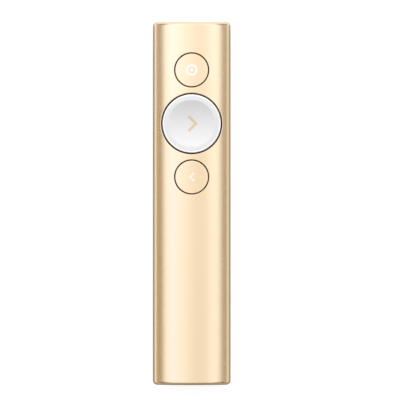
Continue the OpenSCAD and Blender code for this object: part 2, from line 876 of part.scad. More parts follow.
// A snap hook that points along +X, from a level down to its barb
module snap_hook(high) {
    box([-hook_t / 2, -hook_w / 2, hook_low], [hook_t / 2, hook_w / 2, high]);
    translate([0, hook_w / 2, 0]) rotate([90, 0, 0]) linear_extrude(hook_w)
        polygon([[0, hook_low], [hook_t / 2, hook_low], [hook_t / 2 + barb, hook_high], [0, hook_high]]);
}

// A cap's carrier: a disc with the boss that presses the switch, and its snap hooks
module carrier(button, r, low) {
    post(0, button[0], r, low, low + carrier_t);
    post(0, button[0], presser_d / 2, plunger_top + touch_gap, low + carrier_t / 2);
    at_hooks(button) snap_hook(low + carrier_t / 2);
}

// A small cap's carrier sits under the cap and locates it with a peg
module small_carrier(button) {
    carrier(button, small_carrier_r, small_cap_low - carrier_t);
    post(0, button[0], peg_r - run_gap, small_cap_low - carrier_t / 2, small_cap_low + peg_h - run_gap);
}

module pointer_carrier() from_mid_plane() color(PALE) small_carrier(BUTTONS[0]);

// The large cap's carrier lies in a pocket in its underside
module next_carrier() from_mid_plane() color(PALE) carrier(BUTTONS[1], large_carrier_r, large_cap_low);

module back_carrier() from_mid_plane() color(PALE) small_carrier(BUTTONS[2]);

// ---- Battery ------------------------------------------------------------------------------

module battery_cell() from_mid_plane() color(FOIL)
    translate([0, 0, (cell_low + cell_top) / 2])
        along_y(cell_tail_y, cell_nose_y) rounded_rect(cell_w, cell_t, cell_round);

module battery_pad() from_mid_plane() color(DARK)
    chip(0, cell_mid_y, pad_w, pad_l, pad_low, cell_low);

// The guard circuit on the cell's nose end
module battery_board() from_mid_plane() color(GREEN)
    box([-guard_w / 2, cell_nose_y + guard_gap, guard_low], [guard_w / 2, guard_nose_y, guard_high]);

// A quarter turn of a lead, from -Y round to +X when it is seen from above
module lead_elbow(bend, r) {
    rotate(-90) rotate_extrude(angle = 90) translate([bend, 0]) circle(r = r);
}

// A battery lead: out of the guard circuit towards the nose, then up to the main board
module battery_lead(x) {
    bar_y(x, lead_level, lead_r, guard_nose_y, lead_turn_y - lead_bend);
    translate([x, lead_turn_y - lead_bend, lead_level + lead_bend]) rotate([90, 0, 90])
        lead_elbow(lead_bend, lead_r);
    post(x, lead_turn_y, lead_r, lead_level + lead_bend, board_low);
}

module battery_lead_positive() from_mid_plane() color(RED) battery_lead(lead_x);

module battery_lead_negative() from_mid_plane() color(DARK) battery_lead(-lead_x);

// ---- Parts on the main board --------------------------------------------------------------

module radio_shield() from_mid_plane() color(STEEL) difference() {
    chip(0, shield_y, shield_w, shield_l, 0, shield_h);
    chip(0, shield_y, shield_w - 2 * shield_sheet, shield_l - 2 * shield_sheet,
        -cut, shield_h - shield_sheet);
}

module processor() from_mid_plane() color(DARK)
    chip(0, shield_y, processor_w, processor_w, 0, chip_h);

module motion_sensor() from_mid_plane() color(DARK)
    chip(sensor_x, shield_y, sensor_w, sensor_w, 0, chip_h);

module charge_controller() from_mid_plane() color(DARK)
    chip(charger_x, charger_y, charger_w, charger_w, 0, chip_h);

module small_components() from_mid_plane() color(BRASS)
    for (row = passive_rows, i = [0 : row[2] - 1])
        chip(row[0] + (i - (row[2] - 1) / 2) * passive_pitch, row[1], passive_w, passive_l, 0, passive_h);

module antenna() from_mid_plane() color(PALE)
    chip(antenna_x, antenna_y, antenna_w, antenna_l, 0, antenna_h);

module status_led() from_mid_plane() color(WHITE)
    chip(0, led_y, led_w, led_l, 0, led_h);

// ---- Vibration motor ----------------------------------------------------------------------

module motor_can() from_mid_plane() color(STEEL) difference() {
    bar_x(motor_y, 0, motor_r, motor_back_x, motor_front_x);
    bar_x(motor_y, 0, shaft_d / 2 + run_gap, motor_front_x - shaft_in_can - run_gap, motor_front_x + cut);
}

module motor_shaft() from_mid_plane() color(STEEL)
    bar_x(motor_y, 0, shaft_d / 2, motor_front_x - shaft_in_can, shaft_end_x);

// A hub round the shaft with half a disc on its heavy side, which hangs down
module motor_weight() from_mid_plane() color(BRASS) difference() {
    union() {
        bar_x(motor_y, 0, hub_r, weight_x, weight_x + weight_l);
        intersection() {
            bar_x(motor_y, 0, weight_r, weight_x, weight_x + weight_l);
            box([weight_x, motor_y - weight_r, -weight_r], [weight_x + weight_l, motor_y + weight_r, 0]);
        }
    }
    bar_x(motor_y, 0, shaft_d / 2, weight_x - cut, weight_x + weight_l + cut);
}

module motor_boot() from_mid_plane() color(RUBBER) difference() {
    over_floor([motor_back_x + boot_margin, motor_y - motor_r - boot_t, -half_t],
        [motor_front_x - boot_margin, motor_y + motor_r + boot_t, boot_top]);
    bar_x(motor_y, 0, motor_r, motor_back_x, motor_front_x);
}

// A motor lead: out of the can's closed end, then round onto the main board
module motor_lead(y, turn_x) {
    bar_x(y, motor_lead_r, motor_lead_r, turn_x + motor_lead_bend, motor_back_x);
    translate([turn_x + motor_lead_bend, y - motor_lead_bend, motor_lead_r]) rotate(180)
        lead_elbow(motor_lead_bend, motor_lead_r);
    bar_y(turn_x, motor_lead_r, motor_lead_r, board_nose_y - motor_lead_land, y - motor_lead_bend);
}

module motor_leads() from_mid_plane() color(RED)
    for (i = [0, 1])
        motor_lead(motor_y + (i - 0.5) * motor_lead_apart, motor_back_x - motor_lead_turns[i]);

// ---- Charging port and dock ---------------------------------------------------------------

module usb_c_shell() from_mid_plane() color(STEEL) difference() {
    along_y(dock_end_y, port_back_y) rounded_rect(port_w, port_h, port_round);
    along_y(dock_end_y - cut, port_back_y + cut)
        rounded_rect(port_w - 2 * port_sheet, port_h - 2 * port_sheet, port_round - port_sheet);
}

module usb_c_tongue() from_mid_plane() color(DARK) union() {
    along_y(port_back_y - tongue_base_l, port_back_y)
        rounded_rect(port_w - 2 * port_sheet, port_h - 2 * port_sheet, port_round - port_sheet);
    chip(0, (dock_end_y + port_back_y) / 2, tongue_w, port_l - 2 * tongue_set_back,
        -tongue_t / 2, tongue_t / 2);
}

// A bowed leaf on each side of the dock, which holds the plug
module dock_springs() from_mid_plane() color(STEEL)
    for (side = [0, 1])
        mirror([side, 0, 0]) intersection() {
            translate([dock_x + spring_r - spring_sag, spring_y, -spring_h / 2]) difference() {
                cylinder(r = spring_r, h = spring_h);
                translate([0, 0, -cut]) cylinder(r = spring_r - spring_t, h = spring_h + 2 * cut);
            }
            chip(dock_x - spring_sag, spring_y, 2 * spring_sag, spring_chord, -spring_h, spring_h);
        }

// ---- Receiver -----------------------------------------------------------------------------

module receiver_housing() from_mid_plane() color(GOLD) difference() {
    along_y(-half_l, head_front_y) rounded_rect(head_w, head_h, head_round);
    // The plug's seat, and the room behind it
    along_y(plug_back_y, head_front_y + cut) rounded_rect(plug_w, plug_h, plug_round);
    along_y(-half_l + head_wall, plug_back_y + cut) square([head_room_w, head_room_h], center = true);
    // The fingernail groove across its end
    chip(0, -half_l, nail_w, 2 * nail_depth, -nail_h / 2, nail_h / 2);
}

module receiver_plug_shell() from_mid_plane() color(STEEL) difference() {
    along_y(plug_back_y, plug_front_y) rounded_rect(plug_w, plug_h, plug_round);
    along_y(plug_back_y - cut, plug_front_y + cut)
        rounded_rect(plug_inner_w, plug_inner_h, plug_round - plug_sheet);
    for (side = [-1, 1])
        chip(side * window_x, window_y, window_w, window_l, -plug_h, plug_h);
}

module receiver_tongue() from_mid_plane() color(PALE) intersection() {
    along_y(plug_back_y, tongue_front_y)
        rounded_rect(plug_inner_w, plug_inner_h, plug_round - plug_sheet);
    box([-plug_w, plug_back_y, -plug_h], [plug_w, tongue_front_y, tongue_top]);
}

module receiver_contacts() from_mid_plane() color(BRASS)
    for (x = [-contact_outer_x, -contact_inner_x, contact_inner_x, contact_outer_x])
        chip(x, contact_y, contact_w, contact_l, tongue_top, tongue_top + contact_t);

module receiver_board() from_mid_plane() color(GREEN)
    box([-stick_board_w / 2, -half_l + head_wall + stick_end_gap, tongue_top],
        [stick_board_w / 2, stick_board_front_y, tongue_top + stick_board_t]);

sleeve();
nose_plate();
nose_cap();
nose_screws();
tail_plate();
tail_cap();
tail_screws();
chassis();
key_frame();
frame_screws();
main_board();
pointer_switch();
next_switch();
back_switch();
pointer_plunger();
next_plunger();
back_plunger();
pointer_dome();
next_dome();
back_dome();
pointer_cap();
pointer_carrier();
pointer_icon();
next_cap();
next_carrier();
next_icon();
back_cap();
back_carrier();
back_icon();
battery_cell();
battery_pad();
battery_board();
battery_lead_positive();
battery_lead_negative();
radio_shield();
processor();
motion_sensor();
charge_controller();
small_components();
antenna();
status_led();
motor_can();
motor_shaft();
motor_weight();
motor_boot();
motor_leads();
usb_c_shell();
usb_c_tongue();
dock_springs();
receiver_housing();
receiver_plug_shell();
receiver_tongue();
receiver_contacts();
receiver_board();
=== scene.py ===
# %% [markdown]
# # A wireless presentation clicker
#
# The object is a slim anodised aluminium tube. Three round buttons sit in bores along the crown
# of its front, and a small radio receiver is docked in its tail. This notebook dresses the
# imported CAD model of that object: it keeps the frame's sizes and places, and gives each piece
# the shape, edge and finish that catch the light on the real thing.

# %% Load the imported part
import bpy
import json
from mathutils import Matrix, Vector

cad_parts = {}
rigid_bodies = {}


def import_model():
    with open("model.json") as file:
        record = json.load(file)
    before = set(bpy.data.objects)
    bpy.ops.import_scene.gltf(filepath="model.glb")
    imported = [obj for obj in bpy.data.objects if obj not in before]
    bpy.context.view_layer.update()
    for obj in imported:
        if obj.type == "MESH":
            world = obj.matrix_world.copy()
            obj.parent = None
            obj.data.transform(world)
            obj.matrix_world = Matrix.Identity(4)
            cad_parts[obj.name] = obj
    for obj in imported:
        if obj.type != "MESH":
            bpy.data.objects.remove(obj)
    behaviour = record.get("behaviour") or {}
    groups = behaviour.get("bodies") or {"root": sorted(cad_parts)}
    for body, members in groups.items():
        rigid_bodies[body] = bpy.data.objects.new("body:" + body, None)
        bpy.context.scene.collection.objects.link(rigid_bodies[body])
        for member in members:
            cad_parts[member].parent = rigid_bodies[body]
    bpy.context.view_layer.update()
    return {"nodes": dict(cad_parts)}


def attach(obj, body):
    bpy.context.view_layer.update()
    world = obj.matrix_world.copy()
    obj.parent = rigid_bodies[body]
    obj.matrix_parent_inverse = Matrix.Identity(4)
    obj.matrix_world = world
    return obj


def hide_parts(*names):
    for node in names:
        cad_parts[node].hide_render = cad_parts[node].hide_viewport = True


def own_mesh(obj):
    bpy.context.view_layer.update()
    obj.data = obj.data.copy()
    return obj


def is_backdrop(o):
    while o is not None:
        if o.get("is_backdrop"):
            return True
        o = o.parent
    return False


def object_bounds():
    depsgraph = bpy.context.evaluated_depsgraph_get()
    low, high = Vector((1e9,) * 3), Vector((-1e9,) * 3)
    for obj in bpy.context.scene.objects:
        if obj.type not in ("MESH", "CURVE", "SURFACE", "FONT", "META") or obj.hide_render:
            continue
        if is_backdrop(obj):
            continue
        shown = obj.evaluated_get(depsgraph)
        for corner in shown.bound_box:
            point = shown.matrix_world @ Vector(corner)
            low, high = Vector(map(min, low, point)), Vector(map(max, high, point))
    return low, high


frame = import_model()

# %% [markdown]
# ## Sizes and helpers
#
# The sizes repeat those of the part's source, in millimetres, because every visual piece has to
# sit exactly where the CAD piece is. They are turned into metres only when a mesh is made.

# %% Sizes
import math
import json
import bpy
import numpy as np
from mathutils import Matrix, Vector
from mathutils.geometry import delaunay_2d_cdt

MM = 0.001
half_l, half_w, half_t = 131.3 / 2, 28.1 / 2, 12.1 / 2
side_r, wall, end_fillet = 3.0, 1.2, 1.5
tip_x = half_w - side_r
crown_r = (tip_x ** 2 + half_t ** 2 - side_r ** 2) / (2 * (half_t - side_r))
crown_drop = crown_r - half_t
tangent = math.asin(tip_x / (crown_r - side_r))     # where a crown arc runs into a side arc
small_bore, large_bore, cap_gap = 6.3, 11.05, 0.3
pointer_y, next_y, back_y = 48.2, 28.85, 9.55
print("crown radius", round(crown_r, 2), "mm, tangent at", round(math.degrees(tangent), 1),
      "degrees")


def crown_at(x, inset=0.0):
    """Level of the crown above the tube's mid plane, or of a surface inset below it."""
    return np.sqrt((crown_r - inset) ** 2 - np.square(x)) - crown_drop


def crown_normal(x):
    """Which way the crown faces at a place x."""
    x = np.asarray(x, float)
    tilt = np.sqrt(crown_r ** 2 - x ** 2) / crown_r
    return np.stack([x / crown_r, np.zeros_like(x), tilt], axis=-1)

# %% [markdown]
# Polished and blasted metal shows every dent of a mesh's shading. So the main pieces are built
# as *skins*: every face carries, at each of its corners, the exact direction in which the real
# surface faces there. The alternative, smooth shading of a bevelled boolean, leaves streaks
# round the bores. A skin also welds corners that lie in the same place, so that its seams close.

# %% How a mesh becomes a piece
WELD_DIGITS = 5             # corners that agree to this many digits of a millimetre are one corner


def piece_of(name, mesh, slot, body, nodes):
    """Puts a mesh on show: it rides on a body and stands for CAD nodes; slot is not used."""
    piece = bpy.data.objects.new(name, mesh)
    bpy.context.scene.collection.objects.link(piece)
    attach(piece, body)
    if nodes:
        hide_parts(*nodes)
    print(name, "has", len(mesh.polygons), "faces")
    return piece

# %% A skin
class Skin:
    """Patches of faces in millimetres, with the way that each of their corners faces."""

    def __init__(self):
        self.patches = []

    def faces(self, corners, normals):
        """Adds faces of three or four corners each, with the way that each corner faces."""
        self.patches.append((np.asarray(corners, float), np.asarray(normals, float)))

    def grid(self, points, normals, close=False):
        """Adds the quads of a grid of points; close joins its last column to its first."""
        parts = []
        for rows in (points, normals):
            rows = np.asarray(rows, float)
            if close:
                rows = np.concatenate([rows, rows[:, :1]], axis=1)
            around = [rows[:-1, :-1], rows[:-1, 1:], rows[1:, 1:], rows[1:, :-1]]
            parts.append(np.stack(around, axis=2).reshape(-1, 4, 3))
        self.faces(*parts)

    def finish(self, name, material, body, *nodes):
        """Welds the corners, makes the mesh and lets it stand for its CAD nodes."""
        flat = np.concatenate([p.reshape(-1, 3) for p, _ in self.patches])
        keys, index = np.unique(np.round(flat, WELD_DIGITS), axis=0, return_inverse=True)
        index, start, faces, facing = index.ravel(), 0, [], []
        for points, normals in self.patches:
            count, size = points.shape[:2]
            ids = index[start:start + count * size].reshape(count, size)
            start += count * size
            area = np.cross(points[:, 2] - points[:, 0], points[:, -1] - points[:, 1])
            turned = np.einsum("ij,ij->i", area, normals.sum(1)) < 0
            ids[turned], normals[turned] = ids[turned][:, ::-1], normals[turned][:, ::-1]
            for face, looks in zip(ids.tolist(), normals.tolist()):
                if len(set(face)) < size:       # a corner that was welded away
                    kept = [k for k in range(size) if face[k] not in face[:k]]
                    if len(kept) < 3:
                        continue
                    face, looks = [face[k] for k in kept], [looks[k] for k in kept]
                faces.append(face)
                facing += looks
        keys[:, 2] += half_t
        mesh = bpy.data.meshes.new(name)
        mesh.from_pydata((keys * MM).tolist(), [], faces)
        mesh.polygons.foreach_set("use_smooth", [True] * len(faces))
        facing = np.asarray(facing)
        mesh.normals_split_custom_set(facing / np.linalg.norm(facing, axis=1)[:, None])
        mesh.materials.append(material)
        return piece_of(name, mesh, material.name.removesuffix("_finish"), body, nodes)

# %% [markdown]
# ## The camera
#
# The clicker lies on its crowned back and is looked at from straight above, with a long lens
# that keeps its sides nearly parallel. It lies a little left of the middle of the view.

# %% Camera
eye_height = 1.8                               # above the tube's mid plane, in metres
sensor, view_width = 36.0, 0.1507              # the sensor in millimetres, the view in metres
middle_x, middle_y = 0.0059, -0.00165          # what lies in the middle of the view
lens_data = bpy.data.cameras.new("camera")
lens_data.sensor_width = sensor
lens_data.lens = sensor * eye_height / view_width
lens_data.clip_start, lens_data.clip_end = 0.01, 20.0
camera = bpy.data.objects.new("camera", lens_data)
camera.location = (middle_x, middle_y, half_t * MM + eye_height)
bpy.context.scene.collection.objects.link(camera)
bpy.context.scene.camera = camera
print("lens", round(lens_data.lens, 1), "mm, eye", eye_height, "m above the middle of the tube")

# %% [markdown]
# ## Finishes
#
# Every finish is procedural. A small maker builds each one: the shader's own sockets hold what
# is the same all over, and noise in object space gives the fine detail of the real surface,
# such as the grain that bead blasting leaves under an anodised colour.

# %% A maker for nodes
def add_node(tree, kind, inputs=None, **settings):
    """Adds a node; an input is a plain value, another node's output, or a list of outputs."""
    made = tree.nodes.new(kind)
    for key, value in settings.items():
        setattr(made, key, value)
    for socket, value in (inputs or {}).items():
        for one in value if isinstance(value, list) else [value]:
            if isinstance(one, bpy.types.NodeSocket):
                tree.links.new(one, made.inputs[socket])
            else:
                made.inputs[socket].default_value = one
    return made


def grain_of(tree, pattern, size, stretch):
    """A pattern in object space with features of the given size: noise, cells or a weave."""
    place = add_node(tree, "ShaderNodeTexCoord").outputs["Object"]
    scale = tuple(1.0 / (size * s) for s in stretch)
    spot = add_node(tree, "ShaderNodeMapping", {"Vector": place, "Scale": scale}).outputs["Vector"]
    if pattern == "noise":
        return add_node(tree, "ShaderNodeTexNoise",
                        {"Vector": spot, "Scale": 1.0, "Detail": 3.0}).outputs["Fac"]
    if pattern == "cells":
        return add_node(tree, "ShaderNodeTexVoronoi",
                        {"Vector": spot, "Scale": 1.0}).outputs["Distance"]
    wavy = {"Vector": spot, "Scale": 0.3, "Distortion": 0.6}
    threads = [add_node(tree, "ShaderNodeTexWave", wavy, bands_direction=direction).outputs["Fac"]
               for direction in ("X", "Y")]
    return add_node(tree, "ShaderNodeMath", dict(enumerate(threads)),
                    operation="MULTIPLY").outputs[0]

# %% A maker for finishes
finishes = {}                                  # by the record's slot name
bump_share = 0.2                               # a grain's height, as a share of its size


def finish_of(name, colour, metallic=0.0, roughness=0.5, grain=0.0, size=0.0002, vary=0.0,
              spread=0.0, pattern="noise", stretch=(1, 1, 1), **sockets):
    """A finish with a grain of the given size in metres; vary shifts its tone, spread its gloss."""
    material = bpy.data.materials.new(name + "_finish")
    material.use_nodes = True
    tree = material.node_tree
    shader = tree.nodes["Principled BSDF"].inputs
    for socket, value in {"Metallic": metallic, "Roughness": roughness, **sockets}.items():
        shader[socket.replace("_", " ")].default_value = value
    grains = grain_of(tree, pattern, size, stretch)
    dark, light = ((*[min(1.0, c * share) for c in colour], 1) for share in (1 - vary, 1 + vary))
    tone = add_node(tree, "ShaderNodeMix", {"A": dark, "B": light, "Factor": grains},
                    data_type="RGBA")
    tree.links.new(tone.outputs["Result"], shader["Base Color"])
    if spread:
        gloss = add_node(tree, "ShaderNodeMapRange", {
            "To Min": roughness - spread, "To Max": roughness + spread, "Value": grains})
        tree.links.new(gloss.outputs["Result"], shader["Roughness"])
    if grain:
        bump = add_node(tree, "ShaderNodeBump", {
            "Strength": grain, "Distance": size * bump_share, "Height": grains})
        tree.links.new(bump.outputs["Normal"], shader["Normal"])
    finishes[name] = material
    return material

# %% Finishes that show outside
anodised_gold = finish_of("anodised_gold", (0.96, 0.76, 0.52), metallic=1.0, roughness=0.24,
                          grain=0.25, size=0.00012, vary=0.02, spread=0.02)
white_cap = finish_of("white_cap", (0.93, 0.922, 0.896), roughness=0.35, grain=0.1, vary=0.01)
icon_white = finish_of("icon_white", (0.82, 0.817, 0.81), roughness=0.4, grain=0.05, vary=0.01)
icon_gold = finish_of("icon_gold", (0.65, 0.495, 0.306), roughness=0.4, grain=0.05, vary=0.02)
boot_rubber = finish_of("boot_rubber", (0.055, 0.04, 0.024), roughness=0.6, grain=0.2, vary=0.2)
print("outside finishes:", list(finishes))

# %% [markdown]
# The thumb dish of the large cap, the flat round it and the lip share one white finish in three
# painted tones: the dish is painted darker as shade in its hollow, the flat is the middle tone,
# and the lip is painted palest as the highlight along the cap's edge. The colour is shaded by how
# far a place lies from the cap's middle, which a colour ramp does with one step for each radius.

# %% Painted shade and highlight of the large cap
def painted_shade_rings(material, middle, rings):
    """Paints shade and highlight into a finish round a point; a ring is a radius in millimetres and
    a share, to the last.
    """
    tree, reach = material.node_tree, rings[-1][0] * MM
    base = tree.nodes["Principled BSDF"].inputs["Base Color"]
    colour = base.links[0].from_socket
    place = add_node(tree, "ShaderNodeTexCoord").outputs["Object"]
    offset = add_node(tree, "ShaderNodeVectorMath", {0: place, 1: middle}, operation="SUBTRACT")
    flat = add_node(tree, "ShaderNodeVectorMath", {
        0: offset.outputs[0], 1: (1 / reach, 1 / reach, 0)}, operation="MULTIPLY")
    span = add_node(tree, "ShaderNodeVectorMath", {0: flat.outputs[0]}, operation="LENGTH")
    ramp = add_node(tree, "ShaderNodeValToRGB", {0: span.outputs["Value"]})
    steps = ramp.color_ramp.elements
    steps = [steps[0], steps[1], *[steps.new(1.0) for _ in rings[2:]]]
    for (radius, share), step in zip(rings, steps):
        step.position, step.color = radius * MM / reach, (share, share, share, 1)
    both = {"Factor": 1.0, "A": colour, "B": ramp.outputs["Color"]}
    shaded = add_node(tree, "ShaderNodeMix", both, data_type="RGBA", blend_type="MULTIPLY")
    tree.links.new(shaded.outputs["Result"], base)


# Painted shade in the dish, the flat's middle tone, then the painted highlight from the cap's edge
# out over the lip.
cap_painted_shades = [(8.4, 0.72), (8.6, 0.755), (10.0, 0.755), (10.0, 1.0)]
painted_shade_rings(white_cap, (0, next_y * MM, 0), cap_painted_shades)
print("the large cap has", len(cap_painted_shades), "steps of shade")

# %% [markdown]
# Inside, moulded plastic carries the fine grain of a spark-eroded mould, rolled strip is streaked
# along its length, the boards show the weave of their glass cloth under the solder mask, and the
# foam is a field of small cells. All of these differ only in a pattern, its size and its stretch,
# so they come from the same maker.

# %% Finishes of plastics and rubber
finish_of("chassis_plastic", (0.014, 0.014, 0.016), roughness=0.55, grain=0.6, vary=0.15)
finish_of("frame_plastic", (0.05, 0.05, 0.054), roughness=0.5, grain=0.5, vary=0.1)
finish_of("carrier_plastic", (0.78, 0.76, 0.70), roughness=0.4, grain=0.15, vary=0.03,
          Subsurface_Weight=0.1, Subsurface_Scale=0.0008)
finish_of("switch_plastic", (0.02, 0.02, 0.022), roughness=0.42, grain=0.2, vary=0.1)
finish_of("chip_black", (0.016, 0.016, 0.018), roughness=0.62, grain=0.7, size=0.00008, vary=0.2)
tongue_white = finish_of("tongue_white", (0.80, 0.80, 0.77), roughness=0.42, grain=0.1, vary=0.02)
finish_of("foam", (0.02, 0.02, 0.022), roughness=0.95, grain=1.0, size=0.00025, vary=0.5,
          pattern="cells")
for name, colour in (("lead_red", (0.50, 0.02, 0.015)), ("lead_black", (0.012, 0.012, 0.012))):
    finish_of(name, colour, roughness=0.32, grain=0.1, size=0.0006, vary=0.05)
finish_of("led_lens", (0.92, 0.94, 0.90), roughness=0.12, grain=0.05, vary=0.02,
          Transmission_Weight=0.6, IOR=1.5)
print("with plastics and rubber:", len(finishes), "finishes")

# %% Finishes of metals, boards and ceramics
connector_steel = finish_of("connector_steel", (0.62, 0.63, 0.64), metallic=1.0, roughness=0.26,
                            grain=0.3, vary=0.05, spread=0.06, stretch=(1, 14, 1))
spring_steel = finish_of("spring_steel", (0.60, 0.60, 0.61), metallic=1.0, roughness=0.3,
                         grain=0.4, size=0.00012, vary=0.08, spread=0.06, stretch=(1, 20, 20))
screw_steel = finish_of("screw_steel", (0.50, 0.51, 0.53), metallic=1.0, roughness=0.34,
                        grain=0.2, size=0.0001, vary=0.08, spread=0.08)
shield_tin = finish_of("shield_tin", (0.64, 0.64, 0.65), metallic=1.0, roughness=0.38, grain=0.3,
                       size=0.0005, vary=0.08, spread=0.1)
finish_of("cell_foil", (0.60, 0.61, 0.64), metallic=1.0, roughness=0.42, grain=0.6, size=0.0015,
          vary=0.06, spread=0.08)
contact_gold = finish_of("contact_gold", (0.95, 0.72, 0.36), metallic=1.0, roughness=0.22,
                         grain=0.05, vary=0.03)
finish_of("weight_brass", (0.48, 0.34, 0.14), metallic=1.0, roughness=0.5, grain=0.6,
          size=0.00008, vary=0.15, spread=0.1)
finish_of("board_green", (0.012, 0.10, 0.045), roughness=0.3, grain=0.25, size=0.0004, vary=0.25,
          pattern="weave", Coat_Weight=0.3, Coat_Roughness=0.15)
finish_of("component_tan", (0.34, 0.22, 0.10), roughness=0.5, grain=0.3, size=0.00006, vary=0.15)
finish_of("antenna_ceramic", (0.74, 0.72, 0.64), roughness=0.4, grain=0.2, size=0.0001, vary=0.04)
print("all finishes:", len(finishes))

# %% [markdown]
# ## The tube
#
# The tube is extruded to an oval of two shallow crowns and two tight sides, then cut to length,
# its ends are rounded and its bores are milled. It could be a swept curve with booleans, but
# three round bores in a curved crown are where such meshes shade badly. So the crown is laid
# out as a regular grid, and round each bore the grid turns into rings that run from the bore's
# polished edge out to a rectangle of the same grid.

# %% Stations along and across the tube
patch_x = 12.2                                # half width of the crown's grid
patch_y = [2.25, 16.825, 40.9, 55.5]          # the rings round a bore fill one of these stretches
straight_y = half_l - end_fillet
bands = [-straight_y, *patch_y, straight_y]
band_counts = (19, 25, 41, 25, 4)             # stations in each stretch, its two ends included
same_y = 1e-6                                 # stations closer than this are one
crown_x = np.linspace(-patch_x, patch_x, 49)
stations = np.concatenate([*[np.linspace(low, high, count)[:-1] for low, high, count
                             in zip(bands, bands[1:], band_counts)], [straight_y]])
print(len(stations), "stations along the tube,", len(crown_x), "across its crown")

# %% The oval, as directions in which its wall faces
crown_turns = np.arcsin(crown_x / crown_r)    # the crown's own stations
edge_turns = np.linspace(crown_turns[-1], tangent, 3)[1:]
side_turns = np.linspace(tangent, math.pi - tangent, 23)[1:]
right_turns = np.concatenate([edge_turns, side_turns, math.pi - edge_turns[:-1][::-1]])
under_turns = math.pi - crown_turns[::-1]
oval_turns = np.concatenate([right_turns, under_turns, 2 * math.pi - right_turns[::-1]])
same_turn = 1e-12                             # so that rounding can't move a point off its arc
print("the oval has", len(crown_turns), "directions on its crown and", len(oval_turns), "below it")


def oval_point(turn, inset=0.0):
    """X and level of the oval where it faces turn, measured from straight up towards +X."""
    turn = np.asarray(turn, float)
    s, c = np.sin(turn), np.cos(turn)
    crowned = np.abs(s) <= math.sin(tangent) + same_turn
    x = np.where(crowned, (crown_r - inset) * s, np.sign(s) * tip_x + (side_r - inset) * s)
    z = np.where(crowned, (crown_r - inset) * c - np.sign(c) * crown_drop, (side_r - inset) * c)
    return x, z


def oval_rows(turns, rows):
    """Points and normals over the oval: rows of (y, inset, lean), where lean turns to +Y or -Y."""
    points, normals = [], []
    for y, inset, lean in rows:
        x, z = oval_point(turns, inset)
        points.append(np.stack([x, np.full_like(x, y), z], -1))
        normals.append(np.stack([np.sin(turns) * math.cos(lean), np.full_like(x, math.sin(lean)),
                                 np.cos(turns) * math.cos(lean)], -1))
    return points, normals

# %% Rings round a bore
ring_growth = 1.3           # the rings lie closer together near the bore


def bore_rings(skin, middle, radius, edge, low, high, inset, rings):
    """Fills the rectangle between two stations, round a bore, on the crown or inset below it."""
    shrink = (crown_r - inset) / crown_r
    ys = stations[(stations >= low - same_y) & (stations <= high + same_y)]
    xs = crown_x * shrink
    border = np.concatenate([np.stack([xs[:-1], np.full(len(xs) - 1, ys[0])], -1),
                             np.stack([np.full(len(ys) - 1, xs[-1]), ys[:-1]], -1),
                             np.stack([xs[:0:-1], np.full(len(xs) - 1, ys[-1])], -1),
                             np.stack([np.full(len(ys) - 1, xs[0]), ys[:0:-1]], -1)])
    turns = np.arctan2(border[:, 1] - middle, border[:, 0] / shrink)     # alike on both faces
    circle = np.stack([np.cos(turns), np.sin(turns)], -1)
    start = circle * (radius + edge) + [0, middle]
    points, normals = [], []
    for t in np.linspace(0, 1, rings) ** ring_growth:
        flat = start + (border - start) * t
        points.append(np.column_stack([flat, crown_at(flat[:, 0], inset)]))
        normals.append(crown_normal(flat[:, 0] / shrink) * (1 if inset == 0 else -1))
    skin.grid(points, normals, close=True)
    return circle


def bore_wall(skin, circle, middle, radius, edge):
    """The bore's polished edge and its wall, down to the tube's inner face."""
    points, normals = [], []
    inward = np.column_stack([-circle, np.zeros(len(circle))])
    for a in np.linspace(0, math.pi / 2, 7):
        flat = circle * (radius + edge * (1 - math.sin(a))) + [0, middle]
        level = crown_at(flat[:, 0]) - edge * (1 - math.cos(a))
        points.append(np.column_stack([flat, level]))
        normals.append(crown_normal(flat[:, 0]) * math.cos(a) + inward * math.sin(a))
    skin.grid(points, normals, close=True)
    foot = points[-1].copy()
    foot[:, 2] = crown_at(foot[:, 0], wall)
    skin.grid([points[-1], foot], [inward, inward], close=True)

# %% The tube's skin
tube = Skin()
end_leans = np.linspace(0, math.acos(1 - wall / end_fillet), 9)
nose_rows = [(straight_y + end_fillet * math.sin(a), end_fillet * (1 - math.cos(a)), a)
             for a in end_leans]
tail_rows = [(-y, inset, -lean) for y, inset, lean in nose_rows[::-1]]
outer_rows = tail_rows[:-1] + [(y, 0.0, 0.0) for y in stations] + nose_rows[1:]
inner_rows = [(y, wall, 0.0) for y in (tail_rows[0][0], *stations, nose_rows[-1][0])]
below_crown = np.concatenate([crown_turns[-1:], oval_turns, crown_turns[:1] + 2 * math.pi])
for rows, side in ((outer_rows, 1), (inner_rows, -1)):
    tail_part = [row for row in rows if row[0] <= patch_y[0]]
    nose_part = [row for row in rows if row[0] >= patch_y[-1]]
    for turns, part in ((below_crown, rows), (crown_turns, tail_part), (crown_turns, nose_part)):
        points, normals = oval_rows(turns, part)
        tube.grid(points, side * np.asarray(normals))
small_polish, large_polish = 0.22, 0.32        # the radii of the bores' polished edges
tighter = 0.05                                 # the large bore's polish stands this far inward
bores = [(back_y, small_bore, small_polish), (next_y, large_bore - tighter, large_polish),
         (pointer_y, small_bore, small_polish)]
outer_rings, inner_rings = 9, 5
for (middle, radius, edge), low, high in zip(bores, patch_y, patch_y[1:]):
    circle = bore_rings(tube, middle, radius, edge, low, high, 0.0, outer_rings)
    bore_wall(tube, circle, middle, radius, edge)
    bore_rings(tube, middle, radius, 0.0, low, high, wall, inner_rings)
tube.finish("tube_skin", anodised_gold, "body", "sleeve")

# %% [markdown]
# ## The buttons
#
# Each cap is a thin moulded or turned disc whose face carries on the tube's crown, so that the
# three buttons read as part of one surface. The large one has a thumb dish: a shallow saddle
# that is hollow along the tube and crowned across it. The arrows and the ring are inlaid flush.
# A face with an inlay is a flat drawing first: a constrained triangulation of rings of points
# and the inlay's outline. It is lifted to the surface afterwards, which keeps the inlay's edge
# crisp and leaves no boolean scars in the shading.

